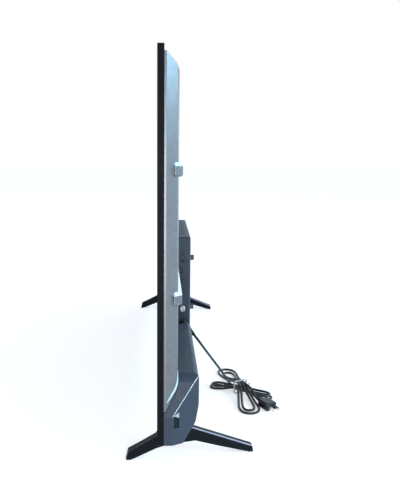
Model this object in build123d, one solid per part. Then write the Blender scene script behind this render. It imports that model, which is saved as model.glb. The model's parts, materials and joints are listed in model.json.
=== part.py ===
from build123d import *
import math
import os

# A flat television of the 43 inch class on two blade feet, with its mains cord tied in a hank.
# Sizes are in millimetres. x runs along the screen, z is up from the surface it stands on,
# and while the pieces are made y is the depth behind the front face of the bezel.
# Where they are written, everything moves so that the origin is under the middle of the feet.

# Whole set
panel_width = 966.0
panel_height = 566.0
floor_gap = 40.0
running_gap = 0.3
cut_overrun = 5.0

# Front bezel
bezel_depth = 9.6
bezel_lip = 1.6
bezel_wall = 1.8
bezel_border = 11.0
chin_height = 17.0
bezel_corner_radius = 4.0
bezel_edge_radius = 0.7

# Screen glass and the frame that holds it
glass_thickness = 0.7
bond_ledge = 4.0
frame_rim = 1.2
frame_sill = 6.5
frame_ledge_thickness = 1.6
frame_ledge_width = 7.0
film_thickness = 0.3
plate_thickness = 1.5

# Steel backlight tray, which is also the visible metal back
tray_sheet = 0.8
tray_inset = 3.8
tray_top_inset = 9.0
tray_bottom_inset = 12.0
tray_side_depth = 5.8
tray_depth = 30.1
tray_side_slope = 11.2
tray_top_slope = 18.0
tray_bottom_slope = 34.0
tray_top_radius = 26.0
tray_bottom_radius = 30.0
tray_flange = 9.0
tray_back_radius = 4.0
rib_height = 20.0
rib_stand = 5.5
rib_end_stand = 4.0
rib_top_chamfer = 4.5
rib_low_chamfer = 2.5
upper_rib_z = 441.0
lower_rib_z = 258.5
rib_wrap = 10.0

# Backlight
led_rows = 4
leds_per_row = 7
led_strip_height = 16.0
led_strip_thickness = 1.0
led_field_width_share = 0.84
led_field_height_share = 0.7
lens_radius = 7.5
lens_height = 5.5
lens_hole_gap = 1.5
reflector_thickness = 0.5
reflector_gap = 0.2
post_base_radius = 5.0
post_tip_radius = 1.5
post_column_shares = (-2.5, -0.5, 1.5)

# Plastic rear cover: a low housing along the bottom and a box for the electronics
cover_wall = 2.0
low_top = 142.0
low_bottom = 41.0
low_depth = 61.6
low_side_gap = 1.0
low_side_depth = 22.4
low_side_taper = 20.0
low_slope_bottom = 85.0
low_belly_depth = 38.0
low_knee_depth = 57.0
low_knee_z = 70.0
low_back_bottom = 96.0
low_knee_radius = 14.0
low_top_radius = 7.0
low_shoulder_radius = 16.0
box_near = 151.0
box_far = -120.0
box_top = 297.0
box_depth = 63.0
box_far_chamfer = 22.5
box_edge_radius = 3.5
pocket_width = 49.0
pocket_front = 38.0
pocket_bottom = 112.0
recess_low = 66.0
recess_high = 90.0
recess_front = 24.0
recess_back = 32.5
label_width = 120.0
label_height = 70.0
label_recess = 0.6

# Vents and speaker slots
vent_width = 2.4
vent_length = 16.0
vent_pitch = 7.5
top_vent_count = 28
back_vent_count = 26
grille_count = 16
grille_pitch = 5.5

# Screws and wells
screw_radius = 1.5
screw_hole_radius = 1.7
screw_head_radius = 3.4
screw_head_height = 2.0
screw_tip = 0.3
well_radius = 5.5
well_bore = 4.2
well_floor = 2.0
outer_well_share = 0.92
inner_well_share = 0.5
pilot_length = 5.0

# Wall mount: four hollow spacers in a 200 by 100 pattern, threaded M6
mount_spacing_x = 200.0
mount_spacing_z = 100.0
mount_centre_z = 198.0
mount_bore = 3.0
spacer_radius = 5.2
spacer_stand = 8.9
strap_width = 16.0
strap_thickness = 2.0
strap_low = 118.0
strap_high = 273.0
strap_foot = 9.0

# Circuit boards
board_stand = 10.0
board_thickness = 1.6
stand_radius = 3.0
main_near = 147.0
main_far = 24.0
main_low = 158.0
main_high = 278.0
power_near = 16.0
power_far = -114.0
power_low = 160.0
power_high = 279.0
board_hole_inset = 6.0
main_hole_inset = 20.0
power_hole_inset = 31.0
mount_clearance = 2.5
heatsink_size = 38.0
heatsink_height = 9.0
heatsink_base = 2.0
fin_count = 9
fin_thickness = 1.2
wifi_width = 24.0
wifi_height = 12.0
wifi_place_share = 0.36
wifi_drop = 7.0

# Parts on the boards, as shares of the board's width and height: place, width, height and rise
processor_shares = (0.34, 0.52, 0.22, 0.20, 0.10)
chip_shares = [
    (0.14, 0.70, 0.09, 0.11, 0.06), (0.14, 0.52, 0.09, 0.11, 0.06), (0.12, 0.86, 0.08, 0.08, 0.09),
    (0.34, 0.84, 0.14, 0.07, 0.08), (0.58, 0.86, 0.10, 0.10, 0.22), (0.36, 0.20, 0.12, 0.10, 0.09),
    (0.14, 0.32, 0.10, 0.06, 0.12), (0.58, 0.30, 0.07, 0.07, 0.18),
]
power_part_shares = [
    (0.62, 0.14, 0.16, 0.10, 0.60), (0.84, 0.30, 0.08, 0.22, 0.50), (0.36, 0.14, 0.12, 0.10, 0.55),
    (0.90, 0.60, 0.08, 0.20, 0.70), (0.54, 0.86, 0.30, 0.05, 0.75), (0.30, 0.36, 0.06, 0.26, 0.75),
]
transformer_shares = [(0.60, 0.42, 0.26, 0.22, 0.50), (0.60, 0.42, 0.18, 0.30, 0.80)]
capacitor_shares = [(0.44, 0.62, 0.07), (0.62, 0.64, 0.06), (0.76, 0.76, 0.04)]
capacitor_rise_share = 0.85
lead_spread_share = 1.3
lead_end_share = 0.38

# Sockets in the cover
socket_reveal = 0.4
socket_gap = 0.4

# Sockets on the near wall of the box, as heights above the floor
hdmi_heights = (176.0, 194.5, 213.0)
hdmi_length = 15.0
hdmi_depth = 5.6
hdmi_reach = 12.0
usb_height = 233.0
usb_length = 13.2
usb_depth = 5.8
usb_reach = 14.0
av_heights = (250.0, 264.0)
av_body = 10.0
av_reach = 13.0
av_bore = 1.8
antenna_height = 158.5
antenna_y = 47.6
antenna_radius = 4.7
antenna_reach = 11.0
antenna_relief = 0.8
antenna_base = 14.0
shell_thickness = 0.5

# Bottom of the panel: source boards, ribbons, remote receiver and power button
source_board_length = 250.0
source_board_height = 17.0
source_board_thickness = 1.2
source_board_z = 72.0
source_board_x = 190.0
ribbon_width = 30.0
ribbon_thickness = 0.25
ribbons_per_board = 3
button_x = 60.0
button_radius = 4.0
button_travel = 0.8
button_flange = 1.4
button_y = 18.0
button_proud = 1.2
window_width = 14.0
window_height = 4.0

# Speakers
speaker_inset = 152.0
speaker_length = 110.0
speaker_low = 50.0
speaker_high = 120.0
speaker_front = 32.0
speaker_back = 48.0
cone_length = 70.0
cone_width = 13.5

# Feet
foot_front = 47.5
foot_depth = 197.6
foot_front_inset = 43.0
foot_splay = 20.0
foot_width = 12.0
foot_pad_thickness = 1.5
foot_pad_length = 9.0
foot_edge = 1.8
foot_nose = 3.0
foot_nose_height = 14.3
foot_heel_height = 10.8
foot_low_points = [(-2.1, 16.2), (22.0, 22.5), (47.0, 23.8), (58.0, 24.8), (98.0, 12.9)]
foot_rear_points = [(97.7, 30.3), (55.5, 46.5), (46.0, 47.0)]
foot_front_points = [(-1.6, 36.9), (-23.0, 25.1)]
foot_root_width = 32.0
foot_root_front = 10.6
foot_root_back = 36.0
foot_root_low = 26.0
foot_screw_radius = 2.0
foot_screw_head = 3.8
foot_screw_head_height = 2.4
bracket_wall = 2.5

# Mains cord, its plug and its tie
cord_diameter = 4.6
boot_neck_radius = 4.2
boot_root_radius = 4.8
boot_tip_radius = 3.1
boot_length = 32.0
boot_flange_radius = 6.5
boot_flange_thickness = 1.6
boot_divisions = 8
boot_groove_depth = 0.7
boot_x_out = 6.0
boot_y = 51.7
boot_z = 130.5
boot_turn = (0.584, 0.565, -0.584)
waist_x = 187.0
waist_y = 161.0
tie_width = 3.0
tie_thickness = 1.0
tie_gap = 0.4
tie_heading = 31.0
tie_half = 13.8
tie_shift = 2.5
tie_corner = 4.14
plug_heading = 26.5
plug_start = 54.0
plug_relief = 16.0
plug_relief_grooves = 4
plug_relief_groove = 1.1
plug_root_radius = 6.3
plug_tip_radius = 3.128
plug_length = 27.0
plug_width = 23.0
plug_thickness = 15.0
blade_length = 17.0
blade_width = 6.35
blade_thickness = 1.5
blade_spacing = 12.7
blade_hole_share = 0.75

half_width = panel_width / 2
low_half_width = half_width - low_side_gap
low_back_half_width = low_half_width - low_side_taper
speaker_x = low_half_width - speaker_inset
foot_front_x = low_half_width - foot_front_inset
foot_rear_x = foot_front_x - foot_splay
panel_top = floor_gap + panel_height
glass_front = bezel_lip
glass_back = glass_front + 2 * glass_thickness
ledge_back = glass_back + frame_ledge_thickness
plate_back = ledge_back + 2 * film_thickness + plate_thickness
tray_front = plate_back
tray_half_width = half_width - tray_inset
tray_top = panel_top - tray_top_inset
tray_bottom = floor_gap + tray_bottom_inset
tray_side_back = tray_front + tray_side_depth
tray_floor = tray_depth - tray_sheet
board_front = tray_depth + board_stand
board_back = board_front + board_thickness
frame_outer = half_width - bezel_wall - running_gap
frame_inner = frame_outer - frame_rim
glass_half_width = frame_inner - running_gap
glass_bottom = floor_gap + bezel_wall + running_gap + frame_sill + running_gap
glass_top = panel_top - bezel_wall - 2 * running_gap - frame_rim
front_y = foot_front - foot_depth / 2
mount_places = [
    (side * mount_spacing_x / 2, mount_centre_z + level * mount_spacing_z / 2)
    for side in (-1, 1)
    for level in (-1, 1)
]
box_middle = (box_near + box_far) / 2


def block(x0, x1, y0, y1, z0, z1):
    """A box between two opposite corners."""
    middle = ((x0 + x1) / 2, (y0 + y1) / 2, (z0 + z1) / 2)
    return Pos(*middle) * Box(x1 - x0, y1 - y0, z1 - z0)


def across_x(points, x0, x1):
    """An outline of (y, z) points carried from x0 to x1."""
    return extrude(Plane.YZ.offset(x0) * Polygon(*points, align=None), amount=x1 - x0)


def across_y(points, y0, y1):
    """An outline of (x, z) points carried from y0 to y1."""
    plane = Plane(origin=(0, y1, 0), x_dir=(1, 0, 0), z_dir=(0, -1, 0))
    return extrude(plane * Polygon(*points, align=None), amount=y1 - y0)


def across_z(points, z0, z1):
    """An outline of (x, y) points carried from z0 to z1."""
    return extrude(Plane.XY.offset(z0) * Polygon(*points, align=None), amount=z1 - z0)


def rod(radius, start, end):
    """A round bar between two points."""
    axis = Vector(*end) - Vector(*start)
    return extrude(Plane(origin=start, z_dir=axis) * Circle(radius), amount=axis.length)


def rod_back(x, z, radius, y0, y1):
    """A round bar along the depth of the set."""
    return rod(radius, (x, y0, z), (x, y1, z))


def both_sides(shape):
    """The shape and its mirror image on the other end of the set."""
    return [shape, mirror(shape, about=Plane.YZ)]


def joined(shapes):
    """Touching or overlapping shapes as one solid."""
    first, *rest = shapes
    return first + rest if rest else first


def along_edges(shape, axis):
    """The edges of a shape that run along an axis."""
    return shape.edges().filter_by(axis)


def even_places(count, middle, pitch):
    """Places spread evenly about a middle."""
    return [middle + (index - (count - 1) / 2) * pitch for index in range(count)]


def screw(x, z, seat_y, length):
    """A pan head screw driven forward, its head behind seat_y."""
    head = rod_back(x, z, screw_head_radius, seat_y, seat_y + screw_head_height)
    return head + rod_back(x, z, screw_radius, seat_y - length, seat_y)


def front_bezel():
    """The black plastic frame round the glass."""
    body = block(-half_width, half_width, 0, bezel_depth, floor_gap, panel_top)
    body = fillet(along_edges(body, Axis.Y), bezel_corner_radius)
    body = chamfer(body.faces().sort_by(Axis.Y)[0].edges(), bezel_edge_radius)
    inner = half_width - bezel_wall
    body -= block(-inner, inner, bezel_lip, bezel_depth + cut_overrun,
                  floor_gap + bezel_wall, panel_top - bezel_wall)
    sight = half_width - bezel_border
    body -= block(-sight, sight, -cut_overrun, bezel_lip + cut_overrun,
                  floor_gap + chin_height, panel_top - bezel_border)
    window = block(-window_width / 2 - running_gap, window_width / 2 + running_gap,
                   -cut_overrun, bezel_lip + cut_overrun, window_z() - running_gap,
                   window_z() + window_height + running_gap)
    return body - window


def window_z():
    """The bottom of the remote receiver's window, half way up the frame's sill."""
    return floor_gap + bezel_wall + running_gap + (frame_sill - window_height) / 2


def panel_frame():
    """The moulded frame that holds the glass off the films."""
    low = floor_gap + bezel_wall + running_gap
    high = panel_top - bezel_wall - running_gap
    rim = block(-frame_outer, frame_outer, bezel_lip, bezel_depth, low, high)
    rim -= block(-frame_inner, frame_inner, 0, bezel_depth + cut_overrun,
                 low + frame_sill, high - frame_rim)
    ledge = block(-frame_outer, frame_outer, glass_back, ledge_back, low, high)
    reach = frame_inner - frame_ledge_width
    ledge -= block(-reach, reach, 0, bezel_depth,
                   low + frame_sill + frame_ledge_width, high - frame_rim - frame_ledge_width)
    frame = rim + ledge
    slot = ribbon_width / 2 + running_gap
    for x in ribbon_places():
        frame -= block(x - slot, x + slot, 0, bezel_depth + cut_overrun,
                       low - cut_overrun, glass_bottom + frame_rim)
    eye = window_width / 2 + running_gap
    return frame - block(-eye, eye, 0, bezel_depth + cut_overrun,
                         window_z() - running_gap, window_z() + window_height + running_gap)


def sheet_between(y0, y1, bottom):
    """A flat sheet the size of the glass, down to a given height."""
    return block(-glass_half_width, glass_half_width, y0, y1, bottom, glass_top)


def film(y0, y1):
    """An optical film behind the frame's ledge."""
    return sheet_between(y0, y1, tray_bottom)


def tray_solid(inset, front):
    """The tray's outer form, drawn in by inset, from a given depth back."""
    side = tray_half_width - inset
    low = tray_bottom + inset
    high = tray_top - inset
    back = tray_depth - inset
    back_low = low + tray_bottom_slope
    back_high = high - tray_top_slope
    back_side = side - tray_side_slope
    profile = across_x([
        (front, low), (tray_side_back, low), (back, back_low),
        (back, back_high), (tray_side_back, high), (front, high),
    ], -side, side)
    for height, radius in ((back_low, tray_bottom_radius), (back_high, tray_top_radius)):
        rolled = [edge for edge in along_edges(profile, Axis.X)
                  if edge.center().Y > back - running_gap and abs(edge.center().Z - height) < running_gap]
        profile = fillet(rolled, radius - inset)
    plan = across_z([
        (-side, front), (side, front), (side, tray_side_back), (back_side, back),
        (-back_side, back), (-side, tray_side_back),
    ], low, high)
    ends = [edge for edge in along_edges(plan, Axis.Z) if edge.center().Y > back - running_gap]
    return profile & fillet(ends, tray_back_radius)


def bevel_x(y):
    """How far out the tray's side bevel lies at a given depth."""
    return tray_half_width - tray_side_slope * (y - tray_side_back) / (tray_depth - tray_side_back)


def rib_solid(middle, inset):
    """One pressed rib across the tray's back, its ends standing out from the side bevels."""
    low = middle - rib_height / 2 + inset
    high = middle + rib_height / 2 - inset
    back = tray_depth + rib_stand - inset
    root = tray_depth - rib_wrap
    shoulder = root + rib_end_stand + inset
    root_x = bevel_x(root) - rib_end_stand - inset
    shoulder_x = bevel_x(shoulder) + rib_end_stand - inset
    tip_x = bevel_x(back) + rib_end_stand - inset
    outline = [
        (-root_x, root), (root_x, root), (shoulder_x, shoulder), (tip_x, back),
        (-tip_x, back), (-shoulder_x, shoulder),
    ]
    body = across_z(outline, low, high)
    for height, size in ((high, rib_top_chamfer), (low, rib_low_chamfer)):
        rim = [edge for edge in body.edges().filter_by(Axis.Z, reverse=True)
               if abs(edge.center().Z - height) < running_gap and edge.center().Y > root + running_gap]
        body = chamfer(rim, size)
    return body


def tray_form(inset, front):
    """The tray with its two ribs."""
    return tray_solid(inset, front) + rib_solid(upper_rib_z, inset) + rib_solid(lower_rib_z, inset)


def well_places():
    """Cover screws: along the low housing and round the box, as (x, z, depth of the surface)."""
    low_z = (low_back_bottom + low_top) / 2
    well_shares = (-outer_well_share, -inner_well_share, inner_well_share, outer_well_share)
    low_x = [low_back_half_width * share for share in well_shares]
    box_z = box_top - 2 * cover_wall - well_radius
    box_x = [box_far + 2 * box_far_chamfer, box_middle, box_near - 2 * cover_wall - well_radius]
    return [(x, low_z, low_depth) for x in low_x] + [(x, box_z, box_depth) for x in box_x]


def stand_places():
    """Corners of the two boards where a standoff carries them."""
    main_x = (main_far + board_hole_inset, main_near - main_hole_inset)
    main_z = (main_low + board_hole_inset, main_high - board_hole_inset)
    power_x = (power_far + power_hole_inset, power_near - board_hole_inset)
    power_z = (power_low + board_hole_inset, power_high - board_hole_inset)
    main = [(x, z) for x in main_x for z in main_z]
    return main + [(x, z) for x in power_x for z in power_z]


def led_places():
    """Centres of the light points on the tray's floor."""
    pitch_x = 2 * tray_half_width * led_field_width_share / (leds_per_row - 1)
    pitch_z = (tray_top - tray_bottom) * led_field_height_share / (led_rows - 1)
    rows = even_places(led_rows, (tray_top + tray_bottom) / 2, pitch_z)
    return [(x, z) for z in rows for x in even_places(leds_per_row, 0, pitch_x)]


def post_places():
    """Support posts between the light points."""
    pitch_x = 2 * tray_half_width * led_field_width_share / (leds_per_row - 1)
    pitch_z = (tray_top - tray_bottom) * led_field_height_share / (led_rows - 1)
    rows = even_places(led_rows - 1, (tray_top + tray_bottom) / 2, pitch_z)
    columns = [share * pitch_x for share in post_column_shares]
    return [(x, z) for z in rows for x in columns]


def rear_tray():
    """The pressed steel tray behind the light points: the metal back of the set."""
    hollow = tray_form(tray_sheet, tray_front + tray_sheet)
    tray = tray_form(0, tray_front) - hollow
    reach = tray_half_width - tray_flange
    tray -= block(-reach, reach, tray_front - cut_overrun, tray_front + tray_sheet + cut_overrun,
                  tray_bottom + tray_flange, tray_top - tray_flange)
    holes = [(x, z) for x, z, depth in well_places()] + stand_places()
    for x, z in holes:
        tray -= rod_back(x, z, screw_hole_radius, tray_floor - cut_overrun, tray_depth + cut_overrun)
    slot_x = box_middle - vent_length
    return tray - block(slot_x, slot_x + 2 * vent_length, tray_floor - cut_overrun,
                        tray_depth + cut_overrun, low_top, low_top + vent_pitch)


def reflector_sheet():
    """The white sheet that lines the tray, with a hole at each light point and post."""
    outer = tray_sheet + led_strip_thickness + reflector_gap
    sheet = tray_solid(outer, tray_front + tray_sheet + reflector_gap)
    sheet -= tray_solid(outer + reflector_thickness, tray_front - cut_overrun)
    for x, z in led_places():
        sheet -= rod_back(x, z, lens_radius + lens_hole_gap, tray_front, tray_depth)
    return sheet


def led_strips():
    """Light strips on the floor of the tray."""
    reach = tray_half_width * led_field_width_share + led_strip_height
    rows = sorted({z for x, z in led_places()})
    half = led_strip_height / 2
    return [block(-reach, reach, tray_floor - led_strip_thickness, tray_floor, z - half, z + half)
            for z in rows]


def led_lenses():
    """A domed lens over each light point."""
    face = tray_floor - led_strip_thickness
    lens = rod_back(0, 0, lens_radius, face - lens_height, face)
    lens = fillet(lens.edges().sort_by(Axis.Y)[0], lens_height / 2)
    return [Pos(x, 0, z) * lens for x, z in led_places()]


def support_posts():
    """Cones that hold the diffuser plate off the lenses."""
    foot = tray_floor - led_strip_thickness - reflector_gap - reflector_thickness
    plane = Plane(origin=(0, foot, 0), z_dir=(0, -1, 0))
    tip = plane.offset(foot - plate_back - running_gap)
    post = loft([plane * Circle(post_base_radius), tip * Circle(post_tip_radius)])
    return [Pos(x, 0, z) * post for x, z in post_places()]


def ribbon_places():
    """Places along the panel's bottom edge where a ribbon leaves the glass."""
    pitch = source_board_length / ribbons_per_board
    right = even_places(ribbons_per_board, source_board_x, pitch)
    return right + [-x for x in right]


def source_boards():
    """The two thin boards that drive the columns of the screen."""
    face = tray_depth + running_gap
    board = block(source_board_x - source_board_length / 2, source_board_x + source_board_length / 2,
                  face, face + source_board_thickness,
                  source_board_z, source_board_z + source_board_height)
    return both_sides(board)


def panel_ribbons():
    """Flat ribbons from the lower edge of the rear glass round to the source boards."""
    front = glass_front + glass_thickness - ribbon_thickness
    low = glass_bottom - running_gap
    back = tray_depth + running_gap + source_board_thickness + ribbon_thickness
    high = source_board_z + frame_ledge_width
    ribbons = []
    for x in ribbon_places():
        x0 = x - ribbon_width / 2
        x1 = x + ribbon_width / 2
        tab = block(x0, x1, front, front + ribbon_thickness, low, glass_bottom + bond_ledge - running_gap)
        run = block(x0, x1, front, back, low - ribbon_thickness, low)
        rise = block(x0, x1, back - ribbon_thickness, back, low, high)
        ribbons.append(tab + run + rise)
    return ribbons


def low_form(inset):
    """The low housing as a solid, drawn in by inset at every outer face."""
    bottom = low_bottom + inset
    top = low_top - inset
    depth = low_depth - inset
    profile = across_x([
        (bezel_depth, bottom), (low_belly_depth, bottom), (low_knee_depth - inset, low_knee_z),
        (depth, low_back_bottom), (depth, top), (bezel_depth, top),
    ], -low_half_width, low_half_width)
    knee = [edge for edge in along_edges(profile, Axis.X) if abs(edge.center().Z - low_knee_z) < running_gap]
    profile = fillet(knee, low_knee_radius)
    rear = [edge for edge in along_edges(profile, Axis.X)
            if edge.center().Z > top - running_gap and edge.center().Y > depth - running_gap]
    profile = fillet(rear, low_top_radius)
    side = low_half_width - inset
    back = low_back_half_width - inset
    plan = across_z([
        (-side, 0), (side, 0), (side, low_side_depth), (back, low_depth + inset),
        (-back, low_depth + inset), (-side, low_side_depth),
    ], 0, low_top)
    face = across_y([
        (-side, 0), (side, 0), (side, low_slope_bottom), (back, low_top),
        (-back, low_top), (-side, low_slope_bottom),
    ], 0, box_depth)
    shoulders = [edge for edge in along_edges(face, Axis.Y) if edge.center().Z > low_top - running_gap]
    return profile & plan & fillet(shoulders, low_shoulder_radius)


def box_form(inset):
    """The electronics box as a solid, with a cut corner at its far top."""
    near = box_near - inset
    far = box_far + inset
    top = box_top - inset
    outline = [
        (far, low_back_bottom), (near, low_back_bottom), (near, top),
        (far + box_far_chamfer, top), (far, top - box_far_chamfer),
    ]
    body = across_y(outline, bezel_depth, box_depth - inset)
    rim = [edge for edge in body.faces().sort_by(Axis.Y)[-1].edges() if edge.center().Z > low_back_bottom]
    rim += [edge for edge in along_edges(body, Axis.Y)
            if edge.center().Z > top - running_gap and edge.center().X > near - running_gap]
    return fillet(rim, box_edge_radius)


def pocket_form(grow):
    """The pocket beside the box where the cord comes out, open upwards and to the back."""
    return block(box_near - grow, box_near + pocket_width + grow, pocket_front - grow,
                 box_depth + cut_overrun, pocket_bottom - grow, low_top + cut_overrun)


def rear_cover():
    """The one-piece plastic cover: low housing, electronics box, vents, wells and socket holes."""
    outer = low_form(0) + box_form(0) - pocket_form(0)
    inner = low_form(cover_wall) + box_form(cover_wall) - pocket_form(cover_wall)
    opening = block(-low_half_width, low_half_width, 0, tray_floor, low_bottom + cover_wall, low_top - cover_wall)
    cover = outer - inner
    cover -= opening & low_form(cover_wall)
    wells = [rod_back(x, z, well_radius, tray_depth, depth - cover_wall / 2) for x, z, depth in well_places()]
    cover = cover + wells
    for x, z, depth in well_places():
        floor = tray_depth + well_floor + running_gap
        cover -= rod_back(x, z, well_bore, floor, depth + cut_overrun)
        cover -= rod_back(x, z, screw_hole_radius, tray_floor, depth)
    cover -= tray_form(-running_gap, tray_front)
    cover -= [rod_back(x, z, spacer_radius + running_gap, tray_depth, box_depth + cut_overrun)
              for x, z in mount_places]
    cover -= socket_cuts()
    cover -= rod(boot_neck_radius + running_gap, (box_near - 2 * cover_wall, boot_y, boot_z),
                 (box_near + cover_wall, boot_y, boot_z))
    cover -= vent_cuts()
    cover -= foot_cuts()
    label_x = -low_back_half_width / 2
    label = block(label_x - label_width / 2, label_x + label_width / 2,
                  low_depth - label_recess, low_depth + cut_overrun,
                  low_back_bottom - cover_wall, low_back_bottom - cover_wall + label_height / 2)
    cover -= label
    cover -= rod(button_radius + running_gap, (button_x, button_y, 0),
                 (button_x, button_y, low_bottom + 2 * cover_wall))
    slope_share = (low_half_width - low_back_half_width) / (low_depth - low_side_depth)
    front_x, back_x = [low_half_width - cover_wall / 2 - slope_share * (y - low_side_depth)
                       for y in (recess_front, recess_back)]
    recess = across_z([
        (front_x, recess_front), (low_half_width + cut_overrun, recess_front),
        (low_half_width + cut_overrun, recess_back), (back_x, recess_back),
    ], recess_low, recess_high)
    return cover - both_sides(recess)


def vent_cuts():
    """Slots in the top of the box and in its back, and speaker slots in the belly."""
    half = vent_width / 2
    slots = []
    middle_y = (tray_depth + box_depth) / 2
    for x in even_places(top_vent_count, box_middle + box_far_chamfer / 2, vent_pitch):
        slots.append(block(x - half, x + half, middle_y - vent_length / 2, middle_y + vent_length / 2,
                           box_top - 2 * cover_wall, box_top + cut_overrun))
    for x in even_places(back_vent_count, box_middle, vent_pitch):
        slots.append(block(x - half, x + half, box_depth - 2 * cover_wall, box_depth + cut_overrun,
                           low_top + vent_pitch - vent_length / 4 + vent_length,
                           low_top + vent_pitch - vent_length / 4 + 2 * vent_length))
    belly = (bezel_depth + low_belly_depth) / 2 + cover_wall
    for side in (-1, 1):
        for x in even_places(grille_count, side * speaker_x, grille_pitch):
            slots.append(block(x - half, x + half, belly - vent_length / 2, belly + vent_length / 2,
                               low_bottom - cut_overrun, low_bottom + 2 * cover_wall))
    return slots


def foot_line(y):
    """How far from the middle a foot's blade lies at a given depth."""
    share = (y + foot_front) / foot_depth
    return foot_front_x + (foot_rear_x - foot_front_x) * share


def foot_screw_places():
    """Two screws up through each foot's root."""
    depths = [foot_root_front + foot_screw_head + bracket_wall / 2, foot_root_back - bracket_wall * 2]
    return [(foot_line(y), y) for y in depths]


def foot_cuts():
    """Screw holes through the cover's belly for the feet."""
    return [rod(foot_screw_radius + running_gap, (side * x, y, 0), (side * x, y, low_bottom + 2 * cover_wall))
            for side in (-1, 1) for x, y in foot_screw_places() if y > bezel_depth]


def foot_outline():
    """The blade's side view, as (y, z) points from the front tip round."""
    pad = foot_pad_thickness
    rear = foot_depth - foot_front
    top = low_bottom - running_gap
    front_sole = [(-foot_front, pad), (foot_pad_length + pad - foot_front, pad)]
    rear_sole = [(rear - foot_pad_length - pad, pad), (rear, pad), (rear - pad, foot_heel_height)]
    root = [
        (low_belly_depth + pad, top), (foot_root_front, top), (foot_root_front, floor_gap - running_gap),
        (0, floor_gap - running_gap),
    ]
    nose = [(foot_nose - foot_front, foot_nose_height)]
    return front_sole + foot_low_points + rear_sole + foot_rear_points + root + foot_front_points + nose


def right_foot():
    """The near foot: a thin blade with two prongs and a broader root under the belly."""
    blade = across_x(foot_outline(), -foot_width / 2, foot_width / 2)
    upper = [edge for edge in blade.edges().filter_by(Axis.X, reverse=True)
             if edge.center().Z > foot_root_low and edge.center().Y > low_knee_depth]
    middle_y = foot_depth / 2 - foot_front
    turn = math.degrees(math.atan((foot_front_x - foot_rear_x) / foot_depth))
    if upper:
        blade = chamfer(upper, foot_edge)
    blade = Pos(0, -middle_y, 0) * blade
    blade = Pos(foot_line(middle_y), middle_y, 0) * Rot(0, 0, turn) * blade
    root_x = foot_line((foot_root_front + foot_root_back) / 2)
    root = block(root_x - foot_root_width / 2, root_x + foot_root_width / 2,
                 foot_root_front, foot_root_back, foot_root_low, low_bottom - running_gap)
    root = fillet(along_edges(root, Axis.Z), foot_root_width / 6)
    foot = blade + root
    for x, y in foot_screw_places():
        seat = foot_root_low + foot_screw_head_height
        foot -= rod(foot_screw_radius + running_gap, (x, y, 0), (x, y, low_top))
        foot -= rod(foot_screw_head + running_gap, (x, y, 0), (x, y, seat))
    return foot


def foot_screws():
    """Screws from below through each foot into the bracket inside."""
    seat = foot_root_low + foot_screw_head_height
    top = low_bottom + cover_wall + running_gap + 2 * bracket_wall
    screws = []
    for side in (-1, 1):
        for x, y in foot_screw_places():
            head = rod(foot_screw_head, (side * x, y, seat - foot_screw_head_height), (side * x, y, seat))
            screws.append(head + rod(foot_screw_radius, (side * x, y, seat), (side * x, y, top)))
    return screws


def foot_pads():
    """Rubber pads under the four tips."""
    pads = []
    rear = foot_depth - foot_front
    for y0, y1 in ((-foot_front, foot_pad_length - foot_front), (rear - foot_pad_length, rear)):
        y = (y0 + y1) / 2
        turn = math.degrees(math.atan((foot_front_x - foot_rear_x) / foot_depth))
        pad = block(-foot_width / 2, foot_width / 2, (y0 - y1) / 2, (y1 - y0) / 2, 0, foot_pad_thickness)
        pad = fillet(along_edges(pad, Axis.Z), foot_edge)
        pads += both_sides(Pos(foot_line(y), y, 0) * Rot(0, 0, turn) * pad)
    return pads


def foot_brackets():
    """Steel blocks inside the belly that the feet screw into."""
    low = low_bottom + cover_wall + running_gap
    high = low + 2 * bracket_wall
    x = foot_line((foot_root_front + foot_root_back) / 2)
    plate = block(x - foot_root_width / 2, x + foot_root_width / 2,
                  bezel_depth + running_gap, tray_depth + 2 * bracket_wall, low, high)
    wall = block(x - foot_root_width / 2, x + foot_root_width / 2,
                 tray_depth + running_gap, tray_depth + bracket_wall, high, low_knee_z + foot_root_width)
    bracket = plate + wall
    for x, y in foot_screw_places():
        bracket -= rod(foot_screw_radius + running_gap / 3, (x, y, 0), (x, y, low_top))
    return both_sides(bracket)


def socket_cuts():
    """Holes in the near wall of the box for the sockets."""
    def cut(height, y0, y1, half):
        return block(box_near - 2 * cover_wall, box_near + cut_overrun, y0 - socket_gap, y1 + socket_gap,
                     height - half - socket_gap, height + half + socket_gap)
    cuts = [cut(height, board_back, board_back + hdmi_depth, hdmi_length / 2) for height in hdmi_heights]
    cuts.append(cut(usb_height, board_back, board_back + usb_depth, usb_length / 2))
    for height in av_heights:
        cuts.append(rod(av_body / 2 - shell_thickness, (box_near - 2 * cover_wall, board_back + av_body / 2, height),
                        (box_near + cut_overrun, board_back + av_body / 2, height)))
    cuts.append(rod(antenna_radius + socket_gap, (box_near - 2 * cover_wall, antenna_y, antenna_height),
                    (box_near + cut_overrun, antenna_y, antenna_height)))
    return cuts


def shell_socket(height, length, depth, reach, tongue_offset):
    """A metal socket shell with its contact tongue, opening towards the near side."""
    x1 = box_near - socket_reveal
    x0 = x1 - reach
    y0 = board_back
    z0 = height - length / 2
    z1 = height + length / 2
    shell = block(x0, x1, y0, y0 + depth, z0, z1)
    hollow = block(x0 + 2 * shell_thickness, x1 + cut_overrun, y0 + shell_thickness,
                   y0 + depth - shell_thickness, z0 + shell_thickness, z1 - shell_thickness)
    tongue_y = y0 + depth / 2 + tongue_offset
    tongue = block(x0 + shell_thickness, x1 - 4 * shell_thickness, tongue_y - shell_thickness,
                   tongue_y + shell_thickness, z0 + 4 * shell_thickness, z1 - 4 * shell_thickness)
    return shell - hollow + tongue


def hdmi_sockets():
    """Three video sockets on the edge of the main board."""
    return [shell_socket(height, hdmi_length, hdmi_depth, hdmi_reach, 0) for height in hdmi_heights]


def usb_socket():
    """The data socket above them."""
    return shell_socket(usb_height, usb_length, usb_depth, usb_reach, shell_thickness)


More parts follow.
